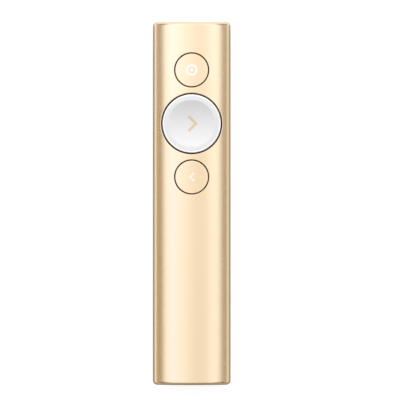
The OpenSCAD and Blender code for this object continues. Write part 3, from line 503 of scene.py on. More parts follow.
# %% Outlines of the inlays
def chevron(height, stroke, slope=44.5):
    """An arrow that points to +X, as a closed outline round its middle."""
    s, c = math.sin(math.radians(slope)), math.cos(math.radians(slope))
    run = height / 2 / s * c
    inner = run + stroke * s
    shift = inner / 2
    upper = [(shift - run, height / 2), (shift - inner, height / 2 - stroke * c)]
    lower = [(x, -y) for x, y in upper[::-1]]
    return [(shift, 0), *upper, (shift - stroke / s, 0), *lower]


def round_outline(radius, count=64):
    """A circle, as a closed outline."""
    turns = [2 * math.pi * k / count for k in range(count)]
    return [(radius * math.cos(turn), radius * math.sin(turn)) for turn in turns]


def dense(outline, step=0.25):
    """The outline with extra corners, so that it can follow a curved surface."""
    outline, out = np.asarray(outline, float), []
    for a, b in zip(outline, np.roll(outline, -1, axis=0)):
        count = max(1, int(np.ceil(np.linalg.norm(b - a) / step)))
        out += [tuple(a + (b - a) * k / count) for k in range(count)]
    return out


def inside(outline, points):
    """Which points lie within a closed outline."""
    points, outline = np.asarray(points, float), np.asarray(outline, float)
    found = np.zeros(len(points), bool)
    for (x0, y0), (x1, y1) in zip(outline, np.roll(outline, -1, axis=0)):
        if y0 != y1:
            crosses = (y0 > points[:, 1]) != (y1 > points[:, 1])
            found ^= crosses & (points[:, 0] < (x1 - x0) * (points[:, 1] - y0) / (y1 - y0) + x0)
    return found

# %% A drawing in triangles
same_place = 1e-7                              # corners of a drawing closer than this are one
spacing, clearance = 0.45, 0.14                # between loose points, and from them to an inlay


def filled(loose, rings):
    """Triangles over loose points and closed rings, with the rings among their edges."""
    corners, edges = [tuple(point) for point in loose], []
    for ring in rings:
        first, count = len(corners), len(ring)
        corners += [tuple(point) for point in ring]
        edges += [(first + k, first + (k + 1) % count) for k in range(count)]
    places, _, triangles, origins, *_ = delaunay_2d_cdt([Vector(corner) for corner in corners],
                                                        edges, [], 0, same_place)
    exact = [corners[origin[0]] if origin else tuple(place)
             for place, origin in zip(places, origins)]
    return np.asarray(exact), np.asarray(triangles)


def near(points, outlines, gap):
    """Which points lie closer than gap to a corner of an outline."""
    corners = np.concatenate([np.asarray(o, float) for o in outlines])
    return (np.linalg.norm(points[:, None] - corners[None], axis=2) < gap).any(axis=1)


def drawing(rim, radii, outlines):
    """Triangles that fill the rim, with the outlines among their edges: (corners, triangles)."""
    field = np.concatenate([*[round_outline(r, max(6, int(2 * math.pi * r / spacing)))
                              for r in radii], [(0, 0)]])
    if outlines:
        field = field[~near(field, outlines, clearance)]
    return filled(field, [rim, *outlines])

# %% Faces of a cap and of its inlay
inlay_depth = 0.12


def lifted(flat, surface, sink=0.0):
    """Points and normals of a flat drawing on a surface, or sunk below it."""
    x, y = flat[..., 0], flat[..., 1]
    level, normals = surface(x, y)
    return np.stack([x, y, level - sink], -1), normals


def cap_face(skin, surface, rim, radii, marks):
    """The cap's face, with a recess in the shape of the marks."""
    corners, triangles = drawing(rim, radii, [m for m, _ in marks])
    middles = corners[triangles].mean(axis=1)
    marked = np.zeros(len(triangles), bool)
    for outline, solid in marks:
        found = inside(outline, middles)
        marked = marked | found if solid else marked & ~found
    points, normals = lifted(corners, surface)
    skin.faces(points[triangles[~marked]], normals[triangles[~marked]])
    sunk, _ = lifted(corners, surface, inlay_depth)
    skin.faces(sunk[triangles[marked]], normals[triangles[marked]])
    for outline, solid in marks:
        mark_wall(skin, surface, outline, -1 if solid else 1)
    return corners, triangles[marked]


def mark_wall(skin, surface, outline, side):
    """The upright wall along an outline; side is 1 where it faces away from what it encloses."""
    flat = np.asarray(outline, float)
    ends = np.roll(flat, -1, axis=0)
    along = ends - flat
    area = np.sum(flat[:, 0] * ends[:, 1] - ends[:, 0] * flat[:, 1])
    out = np.column_stack([along[:, 1], -along[:, 0], np.zeros(len(flat))]) * np.sign(area) * side
    top, foot = lifted(flat, surface)[0], lifted(flat, surface, inlay_depth)[0]
    quads = np.stack([top, np.roll(top, -1, 0), np.roll(foot, -1, 0), foot], axis=1)
    skin.faces(quads, np.repeat(out[:, None], 4, axis=1))


def inlay(skin, surface, corners, triangles, marks):
    """The piece that fills the recess: its face, its walls and its back."""
    points, normals = lifted(corners, surface)
    skin.faces(points[triangles], normals[triangles])
    sunk, _ = lifted(corners, surface, inlay_depth)
    skin.faces(sunk[triangles], -normals[triangles])
    for outline, solid in marks:
        mark_wall(skin, surface, outline, 1 if solid else -1)

# %% A cap from its face down
def circle_of(count):
    """The directions round a circle: flat, and as normals that look outward."""
    turns = np.linspace(0, 2 * math.pi, count, endpoint=False)
    circle = np.column_stack([np.cos(turns), np.sin(turns)])
    return circle, np.column_stack([circle, np.zeros(count)])


def cap_body(skin, surface, radius, edge, profile, count):
    """The cap's rounded edge and what lies below it; profile lists (radius, level) inward."""
    circle, outward = circle_of(count)
    points, normals = [], []
    for a in np.linspace(0, math.pi / 2, 8):
        flat = circle * (radius - edge * (1 - math.sin(a)))
        top, facing = lifted(flat, surface)
        top[:, 2] -= edge * (1 - math.cos(a))
        points.append(top)
        normals.append(facing * math.cos(a) + outward * math.sin(a))
    skin.grid(points, normals, close=True)
    last = points[-1]
    for (r, level), (r_next, level_next) in zip([(radius, None), *profile], profile):
        row = np.column_stack([circle * r_next, np.full(count, level_next)])
        if r_next == r:                      # a wall
            facing = outward * (1 if level is None or level_next < level else -1)
        else:
            facing = np.tile([0.0, 0.0, -1.0], (count, 1))
        skin.grid([last, row], [facing, facing], close=True)
        last = row

# %% The small caps
small_cap, large_cap, large_low = small_bore - cap_gap, large_bore - cap_gap, 2.47
skirt = 1.1                                    # how far a small cap's side reaches down
small_low = float(crown_at(small_cap)) - skirt


def crown_surface(x, y):
    """The crown's level and normal at a place of a cap."""
    return crown_at(x), crown_normal(x)


def moved(skin, y):
    """Carries a skin from the origin to its place along the tube."""
    skin.patches = [(points + [0, y, 0], normals) for points, normals in skin.patches]
    return skin


def button(name, y, surface, radius, edge, count, radii, profile, marks, cap_finish, mark_finish):
    """A cap and its inlay, which ride together on the button's body."""
    cap, mark, body = Skin(), Skin(), name + "_button"
    rim = round_outline(radius - edge, count)
    corners, inlaid = cap_face(cap, surface, rim, radii, marks)
    cap_body(cap, surface, radius, edge, profile, count)
    inlay(mark, surface, corners, inlaid, marks)
    moved(cap, y).finish(name + "_cap_skin", cap_finish, body, name + "_cap")
    moved(mark, y).finish(name + "_mark", mark_finish, body, name + "_icon")


def pocketed(radius, low, pocket, up):
    """A cap's profile below its edge: a flat underside with a round pocket in its middle."""
    return [(radius, low), (pocket, low), (pocket, low + up), (0.0, low + up)]


small_slack, small_edge, peg_r, peg_up = 0.06, 0.18, 2.0, 0.7
small_face = small_cap - small_slack
small_profile = pocketed(small_face, small_low, peg_r, peg_up)
first_ring, small_count, large_count = 0.4, 144, 240      # the counts are corners round a cap
small_radii = np.linspace(first_ring, small_face - small_edge, 14)[:-1]
ring_outer, ring_inner, dot_r = 2.13, 1.42, 0.535
pointer_marks = [(round_outline(ring_outer), True), (round_outline(ring_inner), False),
                 (round_outline(dot_r, 32), True)]
back_marks = [(dense([(-x, y) for x, y in chevron(height=3.1, stroke=0.5)][::-1]), True)]
for name, y, marks in (("pointer", pointer_y, pointer_marks), ("back", back_y, back_marks)):
    button(name, y, crown_surface, small_face, small_edge, small_count, small_radii,
           small_profile, marks, anodised_gold, icon_white)

# %% The large cap's surface: crown outside, saddle inside
dish_r, dish_depth, rim_soft = 8.45, 1.2, 0.05
dish_drop = half_t - float(crown_at(dish_r))
dish_axis = (dish_r ** 2 / dish_depth + 2 * half_t - dish_depth) / 2
dish_sag = dish_drop - dish_depth
spool_r = (dish_r ** 2 + dish_sag ** 2) / (2 * dish_sag)
throat = dish_axis - (half_t - dish_depth)


def saddle(x, y):
    """Level of the dish and how steeply it rises along X and along Y."""
    across = np.sqrt(spool_r ** 2 - x ** 2)
    reach = throat + spool_r - across
    up = np.sqrt(reach ** 2 - y ** 2)
    return dish_axis - up, -reach / up * (x / across), y / up


def thumb_surface(x, y):
    """The lower of crown and dish, with their edge rounded off: (level, normal)."""
    crown, crown_dx = crown_at(x), -x / np.sqrt(crown_r ** 2 - x ** 2)
    dish, dish_dx, dish_dy = saddle(x, y)
    gap = np.clip((dish - crown) / rim_soft, -1, 1)
    share = (1 + gap) / 2                                    # 1 on the crown, 0 in the dish
    level = np.where(dish > crown, crown, dish) - rim_soft / 4 * (1 - np.abs(gap)) ** 2
    slope_x = crown_dx * share + dish_dx * (1 - share)
    slope_y = dish_dy * (1 - share)
    normal = np.stack([-slope_x, -slope_y, np.ones_like(level)], -1)
    return level, normal / np.linalg.norm(normal, axis=-1, keepdims=True)


print("the dish is", dish_depth, "mm deep,", round(dish_sag, 2), "mm hollow across")

# %% The large cap
large_edge, pocket_r, pocket_up = 0.05, 8.0, 1.2
# The outermost ring round the lip is dark painted shade for the gap round the cap.
shade_ring_w, lip_w, shade_ring_drop = 0.25, 0.35, 0.12
lip_r = large_cap - shade_ring_w
face_r = large_cap - (shade_ring_w + lip_w)
large_profile = pocketed(face_r, large_low, pocket_r, pocket_up)
near_rim, before_rim, past_rim = 0.25, 0.4, 0.45          # the rings crowd round the dish's rim
large_radii = np.concatenate([np.linspace(first_ring, dish_r - before_rim, 20),
                              np.linspace(dish_r - near_rim, dish_r + near_rim, 11),
                              np.linspace(dish_r + past_rim, face_r - large_edge, 6)[:-1]])
arrow_x = 0.4                                  # the arrow stands a little right of the middle
next_marks = [(dense([(x + arrow_x, y) for x, y in chevron(height=6.0, stroke=1.0)]), True)]
button("next", next_y, thumb_surface, face_r, large_edge, large_count, large_radii,
       large_profile, next_marks, white_cap, icon_gold)

# %% [markdown]
# The white cap ends in a lip, and round that lies a thin dark ring of painted shade, which stands
# in for the shadow in the gap round the cap. It lies a little below the cap's face and fills the
# eye's view of the bore. From above it makes the ring round the large button darker than the
# rings round the metal ones.

# %% The lip and the dark ring of painted shade
def crown_ring(skin, inner, outer, drop, low, edge, count=large_count):
    """A ring that follows the crown, a drop below it, from its top down to a flat underside."""
    circle, outward = circle_of(count)
    rounded = [(outer - edge * (1 - math.sin(a)), edge * (1 - math.cos(a)), a)
               for a in np.linspace(0, math.pi / 2, 5)[1:]]
    rows, looks = [], []
    for radius, fall, lean in ((inner, 0.0, 0.0), (outer - edge, 0.0, 0.0), *rounded):
        flat = circle * radius
        rows.append(np.column_stack([flat, crown_at(flat[:, 0]) - drop - fall]))
        looks.append(crown_normal(flat[:, 0]) * math.cos(lean) + outward * math.sin(lean))
    skin.grid(rows, looks, close=True)
    feet = [np.column_stack([circle * r, np.full(count, low)]) for r in (outer, inner)]
    down = np.tile([0.0, 0.0, -1.0], (count, 1))
    skin.grid([rows[-1], feet[0]], [outward, outward], close=True)
    skin.grid(feet, [down, down], close=True)
    skin.grid([feet[1], rows[0]], [-outward, -outward], close=True)


# The lip takes the cap's palest painted highlight; the dark ring outside it is painted shade for
# the gap.
for name, inner, outer, drop, edge, material in (
        ("next_cap_lip", face_r, lip_r, 0.0, 0.2, white_cap),
        ("next_cap_gasket", lip_r, large_cap, shade_ring_drop, 0.06, boot_rubber)):
    ring = Skin()
    crown_ring(ring, inner, outer, drop, large_low, edge)
    moved(ring, next_y).finish(name, material, "next_button")

# %% [markdown]
# ## The ends
#
# Each end is closed by a thin plate of the same anodised metal, glued on after the end cap has
# been screwed down, so that no screw shows. Its outline is the tube's own oval, set in by the
# wall, and a small bevel catches the light along it. The tail plate has the receiver's way in.

# %% Two kinds of plane to draw on
def across(y):
    """A plane across the tube, on which a drawing is in (x, level)."""
    return lambda flat: np.stack([flat[:, 0], np.full(len(flat), y), flat[:, 1]], -1)


def along(level):
    """A plane that is parallel to the floor, on which a drawing is in (x, y)."""
    return lambda flat: np.stack([flat[:, 0], flat[:, 1], np.full(len(flat), level)], -1)


def soft_rect(width, height, radius, steps=9, middle=(0, 0)):
    """A rounded rectangle round a middle: its corners, and the ways its edge faces outward."""
    points, normals = [], []
    for k, (sx, sy) in enumerate(((1, 1), (-1, 1), (-1, -1), (1, -1))):
        for a in np.linspace(0, math.pi / 2, steps) + k * math.pi / 2:
            points.append((middle[0] + sx * (width / 2 - radius) + radius * math.cos(a),
                           middle[1] + sy * (height / 2 - radius) + radius * math.sin(a)))
            normals.append((math.cos(a), math.sin(a)))
    return np.asarray(points), np.asarray(normals)

# %% Walls, soft rims and flat faces over a drawing
def straight(skin, plane, outline, facing, start, end):
    """The wall over an outline between two levels, which faces the given way."""
    looks = plane(0)(facing)
    skin.grid([plane(start)(outline), plane(end)(outline)], [looks, looks], close=True)


def soft_rim(skin, plane, outline, facing, level, out, bevel):
    """Rounds the wall over an outline into the face at a level; returns that face's outline."""
    points, normals = [], []
    up = plane(out)(facing * 0)
    for a in np.linspace(0, math.pi / 2, 6):
        lower = plane(level - out * bevel * (1 - math.cos(a)))
        points.append(lower(outline - facing * bevel * (1 - math.sin(a))))
        normals.append(plane(0)(facing) * math.sin(a) + up * math.cos(a))
    skin.grid(points, normals, close=True)
    return outline - facing * bevel


def flat_face(skin, plane, level, out, outline, *holes):
    """The flat face at a level that looks along out, with holes left open."""
    flat, triangles = filled([], [outline, *holes])
    middles = flat[triangles].mean(axis=1)
    keep = inside(outline, middles)
    for hole in holes:
        keep &= ~inside(hole, middles)
    solid, up = plane(level)(flat), plane(out)(np.zeros((1, 2)))
    skin.faces(solid[triangles[keep]], np.tile(up, (int(keep.sum()), 3, 1)))

# %% The end plates
plate_t, seat_gap, plate_bevel = 0.8, 0.08, 0.12
dock_w, dock_h, dock_r = 15.3, 6.3, 1.65


def end_plate(name, out, node, opening=None):
    """The plate at the end where Y looks along out, with an opening or without."""
    skin = Skin()
    turns = np.concatenate([crown_turns, oval_turns])
    rim = np.stack(oval_point(turns, wall + seat_gap), -1)
    rim_looks = np.stack([np.sin(turns), np.cos(turns)], -1)
    outer, inner = out * half_l, out * (half_l - plate_t)
    soft_holes, holes = [], []
    if opening:
        hole, hole_looks = opening
        soft_holes.append(soft_rim(skin, across, hole, -hole_looks, outer, out, plate_bevel))
        straight(skin, across, hole, -hole_looks, outer - out * plate_bevel, inner)
        holes.append(hole)
    face_rim = soft_rim(skin, across, rim, rim_looks, outer, out, plate_bevel)
    straight(skin, across, rim, rim_looks, outer - out * plate_bevel, inner)
    flat_face(skin, across, outer, out, face_rim, *soft_holes)
    flat_face(skin, across, inner, -out, rim, *holes)
    return skin.finish(name, anodised_gold, "body", node)


end_plate("nose_plate_skin", 1, "nose_plate")
end_plate("tail_plate_skin", -1, "tail_plate", soft_rect(dock_w, dock_h, dock_r))

# %% [markdown]
# ## The receiver
#
# The receiver is a flat plug with a short anodised head. Docked, only the head's end shows, flush
# with the tail plate, and a groove for a fingernail runs across it. Pulled out, it shows its
# folded steel shell, the white tongue and four gold contacts. The head is a rounded bar with a
# generous edge, drawn with the same walls, rims and faces as the plates.

# %% The receiver's sizes
head_w, head_h, head_l, head_r = 15.0, 6.0, 8.45, 1.5
plug_w, plug_h, plug_l, plug_r, plug_sheet = 12.0, 4.5, 18.7, 0.6, 0.3
end_bevel, front_bevel, nail_bevel, nail_depth = 0.3, 0.2, 0.15, 0.7
tail_y = -half_l
head_front_y = tail_y + head_l
plug_seat, back_wall = 2.0, 1.2                # how deep the plug sits, and what is behind it
plug_front_y, plug_back_y = head_front_y + plug_l, head_front_y - plug_seat
room_y = tail_y + back_wall
print("the receiver is", round(head_l + plug_l, 2), "mm long")

# %% The receiver's head
head, (head_rim, head_looks) = Skin(), soft_rect(head_w, head_h, head_r)
nail_w, nail_h, nail_r, room_h, room_r = 8.0, 1.6, 0.3, 3.4, 0.1
nail, nail_looks = soft_rect(nail_w, nail_h, nail_r)
seat, seat_looks = soft_rect(plug_w, plug_h, plug_r)
room, room_looks = soft_rect(plug_w - 2 * plug_sheet, room_h, room_r)
end_rim = soft_rim(head, across, head_rim, head_looks, tail_y, -1, end_bevel)
straight(head, across, head_rim, head_looks, tail_y + end_bevel, head_front_y - front_bevel)
front_rim = soft_rim(head, across, head_rim, head_looks, head_front_y, 1, front_bevel)
nail_rim = soft_rim(head, across, nail, -nail_looks, tail_y, -1, nail_bevel)
straight(head, across, nail, -nail_looks, tail_y + nail_bevel, tail_y + nail_depth)
flat_face(head, across, tail_y + nail_depth, -1, nail)
flat_face(head, across, tail_y, -1, end_rim, nail_rim)
flat_face(head, across, head_front_y, 1, front_rim, seat)
straight(head, across, seat, -seat_looks, head_front_y, plug_back_y)
flat_face(head, across, plug_back_y, 1, seat, room)
straight(head, across, room, -room_looks, plug_back_y, room_y)
flat_face(head, across, room_y, 1, room)
head.finish("receiver_head", anodised_gold, "receiver", "receiver_housing")

# %% [markdown]
# The plug's shell is sheet steel, folded to a box. Its corners are round, its mouth is rolled a
# little, and two windows in each broad face catch the springs of a socket. The flats are
# drawings with holes, and the round sides are strips between them.

# %% The plug's shell: its round sides
def strip(skin, outline, facing, rows, turn=1):
    """An open strip of wall over part of an outline, through rows of (y, inset, lean)."""
    points, normals = [], []
    for y, inset, lean in rows:
        points.append(across(y)(outline - facing * inset))
        looks = across(0)(facing) * math.cos(lean)
        looks[:, 1] = math.sin(lean)
        normals.append(looks * turn)
    skin.grid(points, normals)


corner = 9                                     # points round each corner of an outline
shell, (around, around_looks) = Skin(), soft_rect(plug_w, plug_h, plug_r, corner)
mouth_r, flat_x = plug_sheet / 2, plug_w / 2 - plug_r
shell_ys = (plug_back_y, plug_front_y - mouth_r)
for first in (3 * corner, corner):
    side = np.arange(first, first + 2 * corner) % (4 * corner)
    for inset, turn in ((0.0, 1), (plug_sheet, -1)):
        strip(shell, around[side], around_looks[side], [(y, inset, 0.0) for y in shell_ys], turn)
print("the shell's round sides are", len(shell.patches), "strips")

# %% The plug's shell: its flats, windows and mouth
window_x, window_back, window_w, window_l, window_r = 2.9, 5.6, 2.5, 2.0, 0.25
window_y = plug_front_y - window_back
edge = np.asarray([(-flat_x, shell_ys[0]), (flat_x, shell_ys[0]),
                   (flat_x, shell_ys[1]), (-flat_x, shell_ys[1])])
windows = [soft_rect(window_w, window_l, window_r, 5, (side * window_x, window_y))
           for side in (-1, 1)]
for up in (1, -1):
    for inset, out in ((0.0, up), (plug_sheet, -up)):
        level = up * (plug_h / 2 - inset)
        flat_face(shell, along, level, out, edge, *[window for window, _ in windows])
    for window, looks in windows:
        straight(shell, along, window, -looks, level, up * plug_h / 2)
mouth, mouth_looks = [], []
for a in np.linspace(0, math.pi, 9):
    looks = across(0)(around_looks) * math.cos(a)
    looks[:, 1] = math.sin(a)
    plane = across(shell_ys[1] + mouth_r * math.sin(a))
    mouth.append(plane(around - around_looks * mouth_r * (1 - math.cos(a))))
    mouth_looks.append(looks)
shell.grid(mouth, mouth_looks, close=True)
flat_face(shell, across, plug_back_y, -1, around, around - around_looks * plug_sheet)
shell.finish("plug_shell", connector_steel, "receiver", "receiver_plug_shell")

# %% The tongue and its contacts
def block(skin, plane, outline, facing, low, high, bevel):
    """A prism over an outline, between two levels, with a soft upper rim."""
    soft = soft_rim(skin, plane, outline, facing, high, 1, bevel)
    straight(skin, plane, outline, facing, low, high - bevel)
    flat_face(skin, plane, high, 1, soft)
    flat_face(skin, plane, low, -1, outline)


tongue_low = -(plug_h / 2 - plug_sheet)
tongue_t, tongue_back, tongue_gap, tongue_r, tongue_bevel = 1.84, 0.4, 0.02, 0.3, 0.12
contact_w, contact_l, contact_t, contact_back, contact_bevel = 1.0, 7.0, 0.1, 0.6, 0.04
contact_xs = (-3.5, -1.0, 1.0, 3.5)
tongue_top, tongue_front_y = tongue_low + tongue_t, plug_front_y - tongue_back
tongue, contacts = Skin(), Skin()
tongue_rim = soft_rect(plug_w - 2 * plug_sheet, tongue_front_y - plug_back_y, tongue_r,
                       middle=(0, (plug_back_y + tongue_front_y) / 2))
block(tongue, along, *tongue_rim, tongue_low + tongue_gap, tongue_top, tongue_bevel)
tongue.finish("plug_tongue", tongue_white, "receiver", "receiver_tongue")
for x in contact_xs:
    middle = (x, tongue_front_y - contact_back - contact_l / 2)
    block(contacts, along, *soft_rect(contact_w, contact_l, tongue_r, 5, middle),
          tongue_top, tongue_top + contact_t, contact_bevel)
contacts.finish("plug_contacts", contact_gold, "receiver", "receiver_contacts")

# %% [markdown]
# ## Trees for what repeats or follows a path
#
# Screws, wires and the little parts on the board repeat, or follow a path. Each of them could be
# copied by hand, but a tree of Geometry Nodes says once how such a thing is made and takes its
# sizes as named inputs. The tree works in millimetres. Its result is kept as a plain mesh, and
# the modifier goes, so that nothing live is left on the model.

# %% A builder for trees
class Tree:
    """A Geometry Nodes tree whose sizes are named inputs, in millimetres."""

    def __init__(self, name, *sizes, paint=None):
        self.group = bpy.data.node_groups.new(name, "GeometryNodeTree")
        self.socket("Geometry", "Geometry", "OUTPUT")
        self.socket("Geometry", "Geometry")
        self.ids = {size: self.socket(size, "Float") for size in sizes}
        if paint:
            self.ids[paint] = self.socket(paint, "Material")
        self.given = add_node(self.group, "NodeGroupInput").outputs

    def socket(self, name, kind, side="INPUT"):
        """Adds an input or output to the tree and returns its identifier."""
        made = self.group.interface.new_socket(name, in_out=side, socket_type="NodeSocket" + kind)
        return made.identifier

    def add(self, kind, inputs=None, **settings):
        """Adds a geometry node and returns its first output."""
        return add_node(self.group, "GeometryNode" + kind, inputs, **settings).outputs[0]

    def calc(self, operation, *values):
        """The result of one sum with up to three values."""
        return add_node(self.group, "ShaderNodeMath", dict(enumerate(values)),
                        operation=operation).outputs[0]

    def vector(self, x=0.0, y=0.0, z=0.0):
        """Three values as one place, size or turn."""
        return add_node(self.group, "ShaderNodeCombineXYZ", {"X": x, "Y": y, "Z": z}).outputs[0]

    def position(self):
        """Where a point is, along X, Y and Z."""
        return add_node(self.group, "ShaderNodeSeparateXYZ", {0: self.add("InputPosition")}).outputs

    def at_marks(self, shape):
        """Puts a shape at each mark that the tree is given, as real geometry."""
        placed = self.add("InstanceOnPoints", {"Points": self.given["Geometry"], "Instance": shape})
        return self.add("RealizeInstances", {"Geometry": placed})

    def close(self, geometry):
        """Ends the tree with its result."""
        add_node(self.group, "NodeGroupOutput", {"Geometry": geometry})
        print(self.group.name, "has", len(self.group.nodes), "nodes")

# %% From a tree to a piece
def grown(name, source, tree, sizes, slot, body, *nodes):
    """Runs a tree over a mesh or curve in millimetres and keeps what it gives as one piece."""
    seed = bpy.data.objects.new(name + "_source", source)
    bpy.context.scene.collection.objects.link(seed)
    modifier = seed.modifiers.new("tree", "NODES")
    modifier.node_group = tree.group
    for size, value in sizes.items():
        modifier[tree.ids[size]] = float(value) if isinstance(value, (int, float)) else value
    ready = seed.evaluated_get(bpy.context.evaluated_depsgraph_get())
    mesh = bpy.data.meshes.new_from_object(ready)
    seed.modifiers.clear()
    bpy.data.objects.remove(seed)
    paints = [paint for paint in mesh.materials if paint]        # primitives bring an empty slot
    numbers = [paints.index(mesh.materials[face.material_index]) for face in mesh.polygons]
    mesh.materials.clear()
    for paint in paints:
        mesh.materials.append(paint)
    mesh.polygons.foreach_set("material_index", numbers)
    mesh.transform(Matrix.Translation((0, 0, half_t * MM)) @ Matrix.Scale(MM, 4))
    return piece_of(name, mesh, slot, body, nodes)


def marks_at(places):
    """A mesh with nothing but points, for a tree to put something on."""
    mesh = bpy.data.meshes.new("places")
    mesh.from_pydata([tuple(map(float, place)) for place in places], [], [])
    return mesh

# %% [markdown]
# ## Screws
#
# Four screws hold the end caps to the chassis and four hold the key frame down. Each is a turned
# head with a rounded top and a cross recess, on a shank with a rolled thread. The thread follows a
# rule: its radius depends on the height and on the angle round the shank, so it can be a cylinder
# whose points are moved by that rule. Booleans are the plain way to join the head to the shank and
# to cut the recess.

# %% The screws' shanks
screw = Tree("screw", "Shank Radius", "Shank Length", "Head Radius", "Head Height", "Pitch",
             "Depth", "Turn")
add, calc, vector, given = screw.add, screw.calc, screw.vector, screw.given
place = screw.position()


def drawn_in(shape, factor, level):
    """Draws a round shape in towards its axis by a factor and brings it to a level."""
    spot = vector(calc("MULTIPLY", place["X"], factor), calc("MULTIPLY", place["Y"], factor),
                  place["Z"])
    thinner = add("SetPosition", {"Geometry": shape, "Position": spot})
    return add("Transform", {"Geometry": thinner, "Translation": vector(z=level)})


shank = add("MeshCylinder", {
    "Vertices": 20, "Side Segments": 64, "Fill Segments": 1, "Radius": given["Shank Radius"],
    "Depth": given["Shank Length"]}, fill_type="TRIANGLE_FAN")
around = calc("DIVIDE", calc("ARCTAN2", place["Y"], place["X"]), 2 * math.pi)
phase = calc("FRACT", calc("SUBTRACT", calc("DIVIDE", place["Z"], given["Pitch"]), around))
root = calc("SUBTRACT", 1.0, calc("ABSOLUTE", calc("MULTIPLY_ADD", phase, 2.0, -1.0)))
share = calc("DIVIDE", given["Depth"], given["Shank Radius"])
narrow = calc("SUBTRACT", 1.0, calc("MULTIPLY", root, share))
overlap = 0.9                                  # a shank starts this share of the head's height down
shank_level = calc("SUBTRACT", calc("MULTIPLY", given["Shank Length"], -0.5),
                   calc("MULTIPLY", given["Head Height"], overlap))
threaded = drawn_in(shank, narrow, shank_level)
print("a shank takes", len(screw.group.nodes), "nodes")

# %% The screws' heads
dome_start, dome_pull = 0.1, 1.1               # where a head's rounding starts, and its strength
bar_l, bar_w = 1.2, 0.3                        # the recess, as shares of the head's radius
bar_depths = (1.0, 1.04)                       # unlike, so that its two bars share no face
blank = add("MeshCylinder", {
    "Vertices": 40, "Side Segments": 8, "Fill Segments": 3, "Radius": given["Head Radius"],
    "Depth": given["Head Height"]}, fill_type="TRIANGLE_FAN")
height = calc("DIVIDE", place["Z"], given["Head Height"])
rise = calc("MAXIMUM", calc("SUBTRACT", height, dome_start), 0.0)
pull = calc("SUBTRACT", 1.0, calc("MULTIPLY", calc("MULTIPLY", rise, rise), dome_pull))
domed = drawn_in(blank, pull, calc("MULTIPLY", given["Head Height"], -0.5))
long_side, short_side = (calc("MULTIPLY", given["Head Radius"], share) for share in (bar_l, bar_w))
bars = [add("MeshCube", {"Size": vector(x, y, calc("MULTIPLY", given["Head Height"], deep))})
        for x, y, deep in zip((long_side, short_side), (short_side, long_side), bar_depths)]
whole = add("MeshBoolean", {"Mesh 2": [domed, threaded]}, operation="UNION")
cut = add("MeshBoolean", {"Mesh 1": whole, "Mesh 2": bars}, operation="DIFFERENCE")
print("a shank with its head takes", len(screw.group.nodes), "nodes")

# %% The screws' shading and places
crisp_angle = 0.6                              # edges that bend by more stay crisp, in radians
turned = add("Transform", {"Geometry": cut, "Rotation": vector(x=given["Turn"])})
soft = add("SetShadeSmooth", {"Geometry": screw.at_marks(turned)})
bend = calc("GREATER_THAN", add("InputMeshEdgeAngle"), crisp_angle)
crisp = add("SetShadeSmooth", {"Geometry": soft, "Shade Smooth": False, "Selection": bend},
            domain="EDGE")
screw.close(add("SetMaterial", {"Geometry": crisp, "Material": screw_steel}))
end_sizes = {"Shank Radius": 0.8, "Shank Length": 5.5, "Head Radius": 1.5, "Head Height": 1.0,
             "Pitch": 0.5, "Depth": 0.16}
frame_sizes = {"Shank Radius": 0.6, "Shank Length": 3.89, "Head Radius": 1.1, "Head Height": 0.6,
               "Pitch": 0.4, "Depth": 0.12, "Turn": 0.0}
end_screw_x, frame_screw_x, frame_screw_z = 10.21, 8.2, 1.97
under_plate = 0.1                              # from a head's top to the end plate over it
head_y = half_l - plate_t - under_plate
for name, end in (("nose_screws", 1), ("tail_screws", -1)):
    marks = marks_at([(x, end * head_y, 0) for x in (-end_screw_x, end_screw_x)])
    grown(name + "_turned", marks, screw, {**end_sizes, "Turn": -end * math.pi / 2},
          "screw_steel", "body", name)
marks = marks_at([(x, y, frame_screw_z) for x in (-frame_screw_x, frame_screw_x)
                  for y in patch_y[1:3]])
grown("frame_screws_turned", marks, screw, frame_sizes, "screw_steel", "body", "frame_screws")

# %% [markdown]
# ## Snap domes
#
# Under each button a thin dome of spring steel snaps flat when its plunger comes down, and that
# is the click. The dome is part of a ball, so a round blank is bent by the ball's rule, and its
# rim ends as a flat foot.

# %% The domes' tree
domes = Tree("snap_dome", "Radius", "Rise", "Thickness")
add, calc, vector, given = domes.add, domes.calc, domes.vector, domes.given
place, rise, foot_t = domes.position(), given["Rise"], 0.03
blank = add("MeshCylinder", {
    "Vertices": 40, "Side Segments": 1, "Fill Segments": 10, "Radius": given["Radius"],
    "Depth": given["Thickness"]}, fill_type="TRIANGLE_FAN")
reach_2 = calc("ADD", *[calc("MULTIPLY", place[axis], place[axis]) for axis in "XY"])
rim_2 = calc("MULTIPLY", given["Radius"], given["Radius"])
ball = calc("DIVIDE", calc("MULTIPLY_ADD", rise, rise, rim_2), calc("MULTIPLY", rise, 2.0))
chord = calc("SQRT", calc("SUBTRACT", calc("MULTIPLY", ball, ball), reach_2))
outer = calc("ADD", calc("SUBTRACT", chord, ball), rise)
under = calc("LESS_THAN", place["Z"], 0.0)     # 1 on the side that looks down
face = calc("SUBTRACT", outer, calc("MULTIPLY", under, given["Thickness"]))
foot = calc("MULTIPLY_ADD", under, -foot_t, foot_t)
bent = add("SetPosition", {"Geometry": blank, "Position": vector(
    place["X"], place["Y"], calc("MAXIMUM", face, foot))})
smooth = add("SetShadeSmooth", {"Geometry": domes.at_marks(bent)})
domes.close(add("SetMaterial", {"Geometry": smooth, "Material": spring_steel}))

# %% A dome under each button
dome_floor, dome_flat = 0.15, 0.42             # flat: the share of its height left when pressed
dome_sizes = {"Radius": 1.75, "Rise": 0.51, "Thickness": 0.1}
for name, y in (("pointer", pointer_y), ("next", next_y), ("back", back_y)):
    dome = grown(name + "_snap_dome", marks_at([(0, y, dome_floor)]), domes, dome_sizes,
                 "spring_steel", "body", name + "_dome")
    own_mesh(dome)

# %% [markdown]
# ## Leads
#
# Insulated wires join the battery's guard board and the motor to the main board. A wire is a path
# with round corners and a round section swept along it. Drawing the path's corners and letting
# the tree round and sweep them keeps each bend at the radius that such wire can take.

